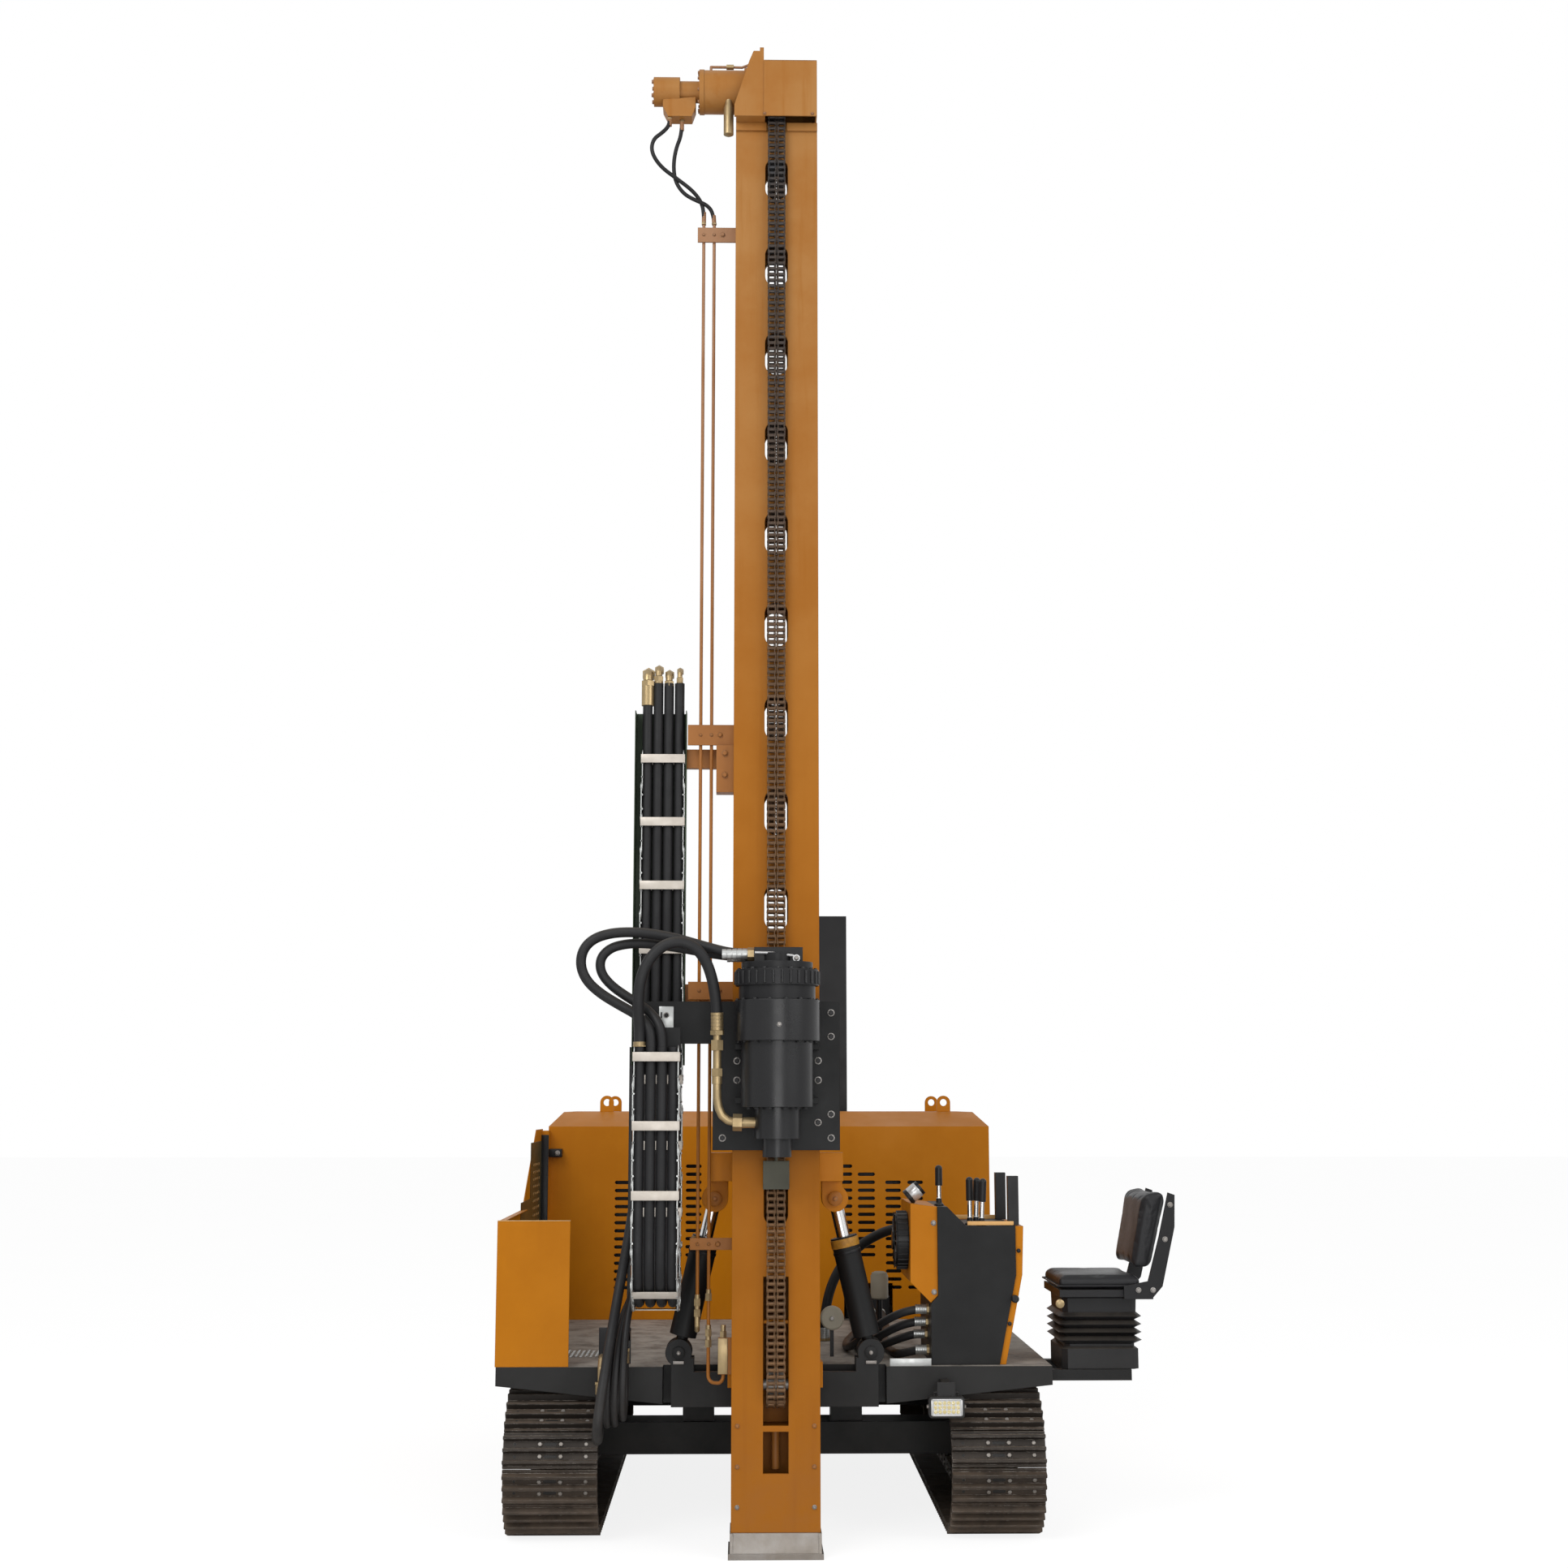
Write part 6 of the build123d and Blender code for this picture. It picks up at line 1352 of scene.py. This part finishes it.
@dataclass
class Bellows:
    """The pleated rubber round the seat's suspension."""

    centre: tuple[float, float] = (1.349, 0.560)
    half: tuple[float, float] = (0.171, 0.190)
    levels: tuple[tuple[float, float], ...] = (
        (0.662, 0.012), (0.742, 0.012), (0.752, 0.026), (0.762, 0.026), (0.778, -0.002), (0.794, 0.024),
        (0.810, -0.002), (0.826, 0.024), (0.842, -0.002), (0.858, 0.024), (0.874, -0.002), (0.890, 0.018),
        (0.9475, 0.016))

    def build(self, paintbox: Paintbox) -> None:
        """Grows the pleats upwards from the base, level by level."""
        shape = Shape("seat_bellows_folds", (Finish.BELLOWS,))
        (cx, cy), (hx, hy) = self.centre, self.half
        (z, inset), cut = self.levels[0], 0.022
        x, y = hx - inset, hy - inset
        ring = [(x, cut - y), (x, y - cut), (x - cut, y), (cut - x, y), (-x, y - cut), (-x, cut - y),
                (cut - x, -y), (x - cut, -y)]
        face = shape.bm.faces.new([shape.bm.verts.new((cx + a, cy + b, z)) for a, b in ring])
        for (z, inset), (last_z, last) in zip(self.levels[1:], self.levels):
            grown = bmesh.ops.extrude_face_region(shape.bm, geom=[face])["geom"]
            face = next(item for item in grown if isinstance(item, bmesh.types.BMFace))
            verts = [item for item in grown if isinstance(item, bmesh.types.BMVert)]
            bmesh.ops.translate(shape.bm, verts=verts, vec=(0, 0, z - last_z))
            bmesh.ops.scale(shape.bm, verts=verts,
                            vec=((hx - inset) / (hx - last), (hy - inset) / (hy - last), 1),
                            space=Matrix.Translation((-cx, -cy, 0)))
        shape.piece(paintbox, "chassis", "seat_bellows")


@dataclass
class ConsoleTrim:
    """What sits on the console: bolts, tray, gauge rim, joystick, lever stems and the fan's grille."""

    levers: tuple[tuple[float, float, float, float], ...] = (
        (0.820, 0.440, 0.000, 0.180), (0.850, 0.480, 0.006, 0.175), (0.862, 0.380, 0.008, 0.175),
        (0.692, 0.450, 0.000, 0.150))
    fan: Point = (0.515, 0.520, 1.176)

    def build(self, paintbox: Paintbox) -> None:
        """Makes the trim pieces."""
        shape = Shape("console_trim", (Finish.CHROME, Finish.BLACK, Finish.PALE, Finish.STEEL))
        for x, y, lean, length in self.levers:
            z = 1.3215 if x < 0.716 else 1.2425 + (x - 0.787) * 3 / 202
            shape.turned((x, y, z), (lean, 0, length),
                         [(0.0, 0.021), (0.006, 0.020), (0.012, 0.013), (0.030, 0.011)], Finish.BLACK, 20)
            end = (x + lean * 0.56, y, z + length * 0.56)
            shape.rod((x, y, z), end, 0.0094, Finish.CHROME, 16)
            shape.ball((x + lean, y, z + length + 0.002), 0.0155, Finish.BLACK)
        shape.box((0.800, 0.345, 1.2455), (0.992, 0.360, 1.2620), Finish.PALE, 0.001)
        shape.box((0.800, 0.840, 1.2455), (0.992, 0.855, 1.2620), Finish.PALE, 0.001)
        for x, z in ((0.659, 1.255), (0.659, 0.976)):
            shape.bolt((x, 0.350, z), (0, -1, 0), 0.016, Finish.STEEL)
        for x, z in ((1.010, 1.143), (0.968, 0.849)):
            shape.bolt((x, 0.340, z), (0, -1, 0), 0.012, Finish.BLACK)
        shape.turned((0.990, 0.340, 0.950), (0, -1, 0),
                     [(0.0, 0.008), (0.010, 0.008), (0.012, 0.016), (0.024, 0.016),
                                                         (0.028, 0.011)], Finish.BLACK, 20)
        shape.piece(paintbox, "chassis")
        gauge = Shape("gauge_rim", (Finish.SILVER, Finish.BLACK, Finish.BEIGE))
        foot, way = (0.565, 0.450, 1.3563), (0.050, 0.0, 0.042)
        gauge.turned(foot, way, [(0.010, 0.0325), (0.012, 0.0335), (0.050, 0.0335), (0.052, 0.0325)],
                     sides=32)
        gauge.turned(foot, way, [(-0.006, 0.0330), (-0.004, 0.0345), (0.006, 0.0345), (0.008, 0.0330)],
                     Finish.BLACK, 32)
        gauge.turned(foot, way, [(-0.0068, 0.026), (-0.0058, 0.026)], Finish.BEIGE, 32)
        gauge.piece(paintbox, "chassis")
        grille = Shape("fan_grille", (Finish.BLACK,))
        x, y, z = self.fan
        for radius in (0.052, 0.070, 0.088, 0.106):
            grille.turned((x, y, z), (-1, 0, 0), [(0.0, radius + 0.0025), (0.006, radius + 0.002)], sides=32)
        for i in range(16):
            a = 2 * math.pi * i / 16
            way = Vector((0, math.cos(a), math.sin(a)))
            hub = Vector((x - 0.007, y, z))
            grille.rod(tuple(hub + way * 0.036), tuple(hub + way * 0.116), 0.0026, sides=6)
        for i in range(28):
            a = 2 * math.pi * i / 28
            y1, z1 = y + 0.1185 * math.cos(a), z + 0.1185 * math.sin(a)
            grille.rod((x + 0.002, y1, z1), (x + 0.044, y1, z1), 0.0032, sides=6)
        grille.piece(paintbox, "chassis")


@dataclass
class WorkLamp:
    """The work lamp's face plate, rim, chips and handle, over the plain lamp body."""

    x: tuple[float, float] = (0.617, 0.760)
    z: tuple[float, float] = (0.499, 0.582)
    front: float = 0.168
    inset: float = 0.008
    rim: float = 0.006
    rim_side: float = 0.007

    def build(self, paintbox: Paintbox) -> None:
        """Makes the lamp's face."""
        shape = Shape("lamp_face", (Finish.LED, Finish.SILVER, Finish.STEEL, Finish.BLACK))
        y = self.front
        (left, right), (bottom, top) = self.x, self.z
        shape.box((left + 0.012, y - 0.0015, bottom + 0.011), (right - 0.012, y + 0.001, top - 0.011),
                  Finish.SILVER)
        shape.elbow([(0.640, 0.190, 0.580), (0.640, 0.190, 0.596), (0.737, 0.190, 0.596),
                     (0.737, 0.190, 0.580)],
                    0.004, Finish.BLACK)
        left, right = left + self.inset, right - self.inset
        bottom, top = bottom + self.inset, top - self.inset
        for x, z in (((left, right), (bottom, bottom + self.rim)), ((left, right), (top - self.rim, top)),
                     ((left, left + self.rim_side), (bottom, top)),
                     ((right - self.rim_side, right), (bottom, top))):
            shape.box((x[0], y - 0.006, z[0]), (x[1], y + 0.001, z[1]), Finish.SILVER, 0.0015)
        columns, rows = 6, 3
        for i in range(columns):
            for j in range(rows):
                x = self.x[0] + 0.0265 + i * (self.x[1] - self.x[0] - 0.053) / (columns - 1)
                z = self.z[0] + 0.0245 + j * (self.z[1] - self.z[0] - 0.049) / (rows - 1)
                shape.turned((x, y, z), (0, -1, 0), [(-0.0005, 0.0085), (0.0012, 0.0085), (0.003, 0.0055)],
                             sides=12)
        for x in self.x:
            side = -1 if x == self.x[0] else 1
            shape.bolt((x, 0.190, 0.541), (side, 0, 0), 0.014, Finish.STEEL)
        shape.piece(paintbox, "chassis")


@dataclass
class Seat:
    """The operator's seat: padded cushion and backrest in vinyl, and small metalwork."""

    cushion: tuple[Point, Point] = ((1.170, 0.340, 0.990), (1.520, 0.780, 1.034))
    back: tuple[tuple[float, float], ...] = ((1.486, 1.072), (1.544, 1.372), (1.600, 1.383), (1.626, 1.375),
                                             (1.550, 1.072))
    voxel: float = 0.006
    swell: float = 0.010
    pressure: float = 4.0
    frames: int = 20

    def _blank(self, name: str, upright: bool) -> bpy.types.Object:
        """The pad before it is filled: a rounded block of the cushion, or of the backrest's outline."""
        shape = Shape(name, (Finish.VINYL,))
        if upright:
            shape.plate(list(self.back), "Y", SEAT_Y[0] + 0.010, SEAT_Y[1] - 0.010, bevel=0.016, segments=3)
        else:
            shape.box(*self.cushion, bevel=0.018, segments=3)
        return new_object(name, shape.template())

    def _apply(self, pad: bpy.types.Object, limit: bool = False) -> None:
        """Bakes a pad's modifiers into its mesh, with each point held within the swell of its old place."""
        graph = bpy.context.evaluated_depsgraph_get()
        baked = bpy.data.meshes.new_from_object(pad.evaluated_get(graph))
        if limit:
            for old, new in zip(pad.data.vertices, baked.vertices):
                step = new.co - old.co
                if step.length > self.swell:
                    new.co = old.co + step * (self.swell / step.length)
        pad.modifiers.clear()
        pad.data = baked

    def _fill(self, pad: bpy.types.Object) -> None:
        """Remeshes a pad and blows it up a little as cloth."""
        remesh = pad.modifiers.new("even", "REMESH")
        remesh.mode, remesh.voxel_size = "VOXEL", self.voxel
        self._apply(pad)
        cloth = pad.modifiers.new("fill", "CLOTH")
        cloth.settings.use_pressure = True
        cloth.settings.uniform_pressure_force = self.pressure
        cloth.settings.effector_weights.gravity = 0.0
        for frame in range(1, self.frames + 1):
            bpy.context.scene.frame_set(frame)
            bpy.context.evaluated_depsgraph_get().update()
        self._apply(pad, limit=True)
        bpy.context.scene.frame_set(1)

    def _finish_pad(self, pad: bpy.types.Object, paintbox: Paintbox) -> None:
        """Adds one subdivision and the vinyl, and joins the pad to the rig."""
        smooth = pad.modifiers.new("smooth", "SUBSURF")
        smooth.levels = smooth.render_levels = 1
        self._apply(pad)
        pad.data.materials.clear()
        pad.data.materials.append(paintbox.materials[Finish.VINYL])
        pad.data.shade_smooth()
        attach(pad, "chassis")
        log.info("%s: %d faces", pad.name, len(pad.data.polygons))

    def build(self, paintbox: Paintbox) -> None:
        """Makes the pads, the cushion's piping and the seat's small metalwork."""
        pads = [self._blank("seat_cushion", False), self._blank("seat_backrest", True)]
        for pad in pads:
            self._fill(pad)
            self._finish_pad(pad, paintbox)
        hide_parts("seat_pads")
        trim = Shape("seat_trim", (Finish.BLACK, Finish.BRASS, Finish.STEEL, Finish.VINYL))
        low, high = self.cushion
        corners = [(low[0], low[1]), (high[0], low[1]), (high[0], high[1]), (low[0], high[1])]
        for start, end in zip(corners, corners[1:] + corners[:1]):
            trim.rod((*start, low[2] + 0.010), (*end, low[2] + 0.010), 0.0035, Finish.VINYL, 8)
        for side_y, way in ((SEAT_Y[0] - 0.012, -1), (SEAT_Y[1] + 0.012, 1)):
            for x, z in ((1.500, 0.985), (1.560, 0.985), (1.615, 1.190), (1.640, 1.330)):
                trim.bolt((x, side_y, z), (0, way, 0), 0.016, Finish.STEEL)
        trim.turned((1.176, 0.352, 0.930), (0, -1, 0),
                    [(0.0, 0.006), (0.010, 0.006), (0.012, 0.018), (0.026, 0.018),
                                                        (0.030, 0.012)], Finish.BRASS, 20)
        trim.piece(paintbox, "chassis")


def dress_nodes(paintbox: Paintbox) -> None:
    """Gives every node of the frame that stays in view its finish."""
    for finish, names in (
        (Finish.MAST_ORANGE, ("mast_column", "top_housing", "feed_drive")),
        (Finish.ORANGE,
         ("hood", "hood_lugs", "hood_door_left", "hood_door_right", "guard_left", "swing_frame",
                         "console_flaps")),
        (Finish.AMBER, ("pipe_brackets", "hard_pipes")),
        (Finish.CHARCOAL, ("carriage_frame", "luff_frame", "undercarriage", "console_shell", "lift_barrel",
                           "luff_barrel", "swing_barrel_left", "swing_barrel_right", "track_frames",
                           "seat_beam")),
        (Finish.DECK, ("platform",)),
        (Finish.BLACK, ("rotary_motor", "engine_block", "exhaust_post", "console_levers", "arm_posts",
                        "deck_fittings", "work_lamp", "seat_pan")),
        (Finish.CAST, ("rotary_gearbox", "spindle")),
        (Finish.STEEL, ("mast_foot", "chain_wheels")),
        (Finish.ANCHOR, ("chain_anchor",)),
        (Finish.CHAIN, ("feed_chain",)),
        (Finish.TROUGH, ("cable_trough",)),
        (Finish.CHROME, ("lift_rod", "luff_rod", "swing_rod_left", "swing_rod_right")),
        (Finish.TRACK, ("track_wheels", "track_left", "track_right")),
        (Finish.VINYL, ("seat_pads",)),
        (Finish.BELLOWS, ("seat_bellows",)),
        (Finish.RUBBER, ("top_hoses", "carriage_hoses", "deck_hoses", "drag_hoses_rear", "drag_hoses_front",
                         "drag_hoses_bend")),
        (Finish.GALVANISED, ("drag_chain_rear", "drag_chain_front", "drag_chain_bend")),
    ):
        paintbox.dress(finish, *names)


def build_hoses(paintbox: Paintbox) -> None:
    """Makes every free hose, and hides the solids that they stand for."""
    for hose in HOSES:
        hose.build(paintbox)
        if hose.name in HOSE_NODES:
            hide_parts(HOSE_NODES[hose.name])


def main() -> None:
    """Loads the frame, dresses its nodes and adds every piece."""
    logging.basicConfig(level=logging.INFO, format="%(name)s: %(message)s")
    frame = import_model()
    paintbox = Paintbox(frame["nodes"])
    Studio().build()
    dress_nodes(paintbox)
    build_hoses(paintbox)
    for part in (FeedChain(), DragChain(), Tracks(), MastTop(), MastFittings(), HoseBracket(),
                 CarriageFittings(),
                 SwingGear(), DeckFront(), GuardTrim(), HoodScreen(), ConsoleTrim(), WorkLamp(), Bellows(),
                 Seat()):
        part.build(paintbox)


if __name__ == "__main__":
    main()
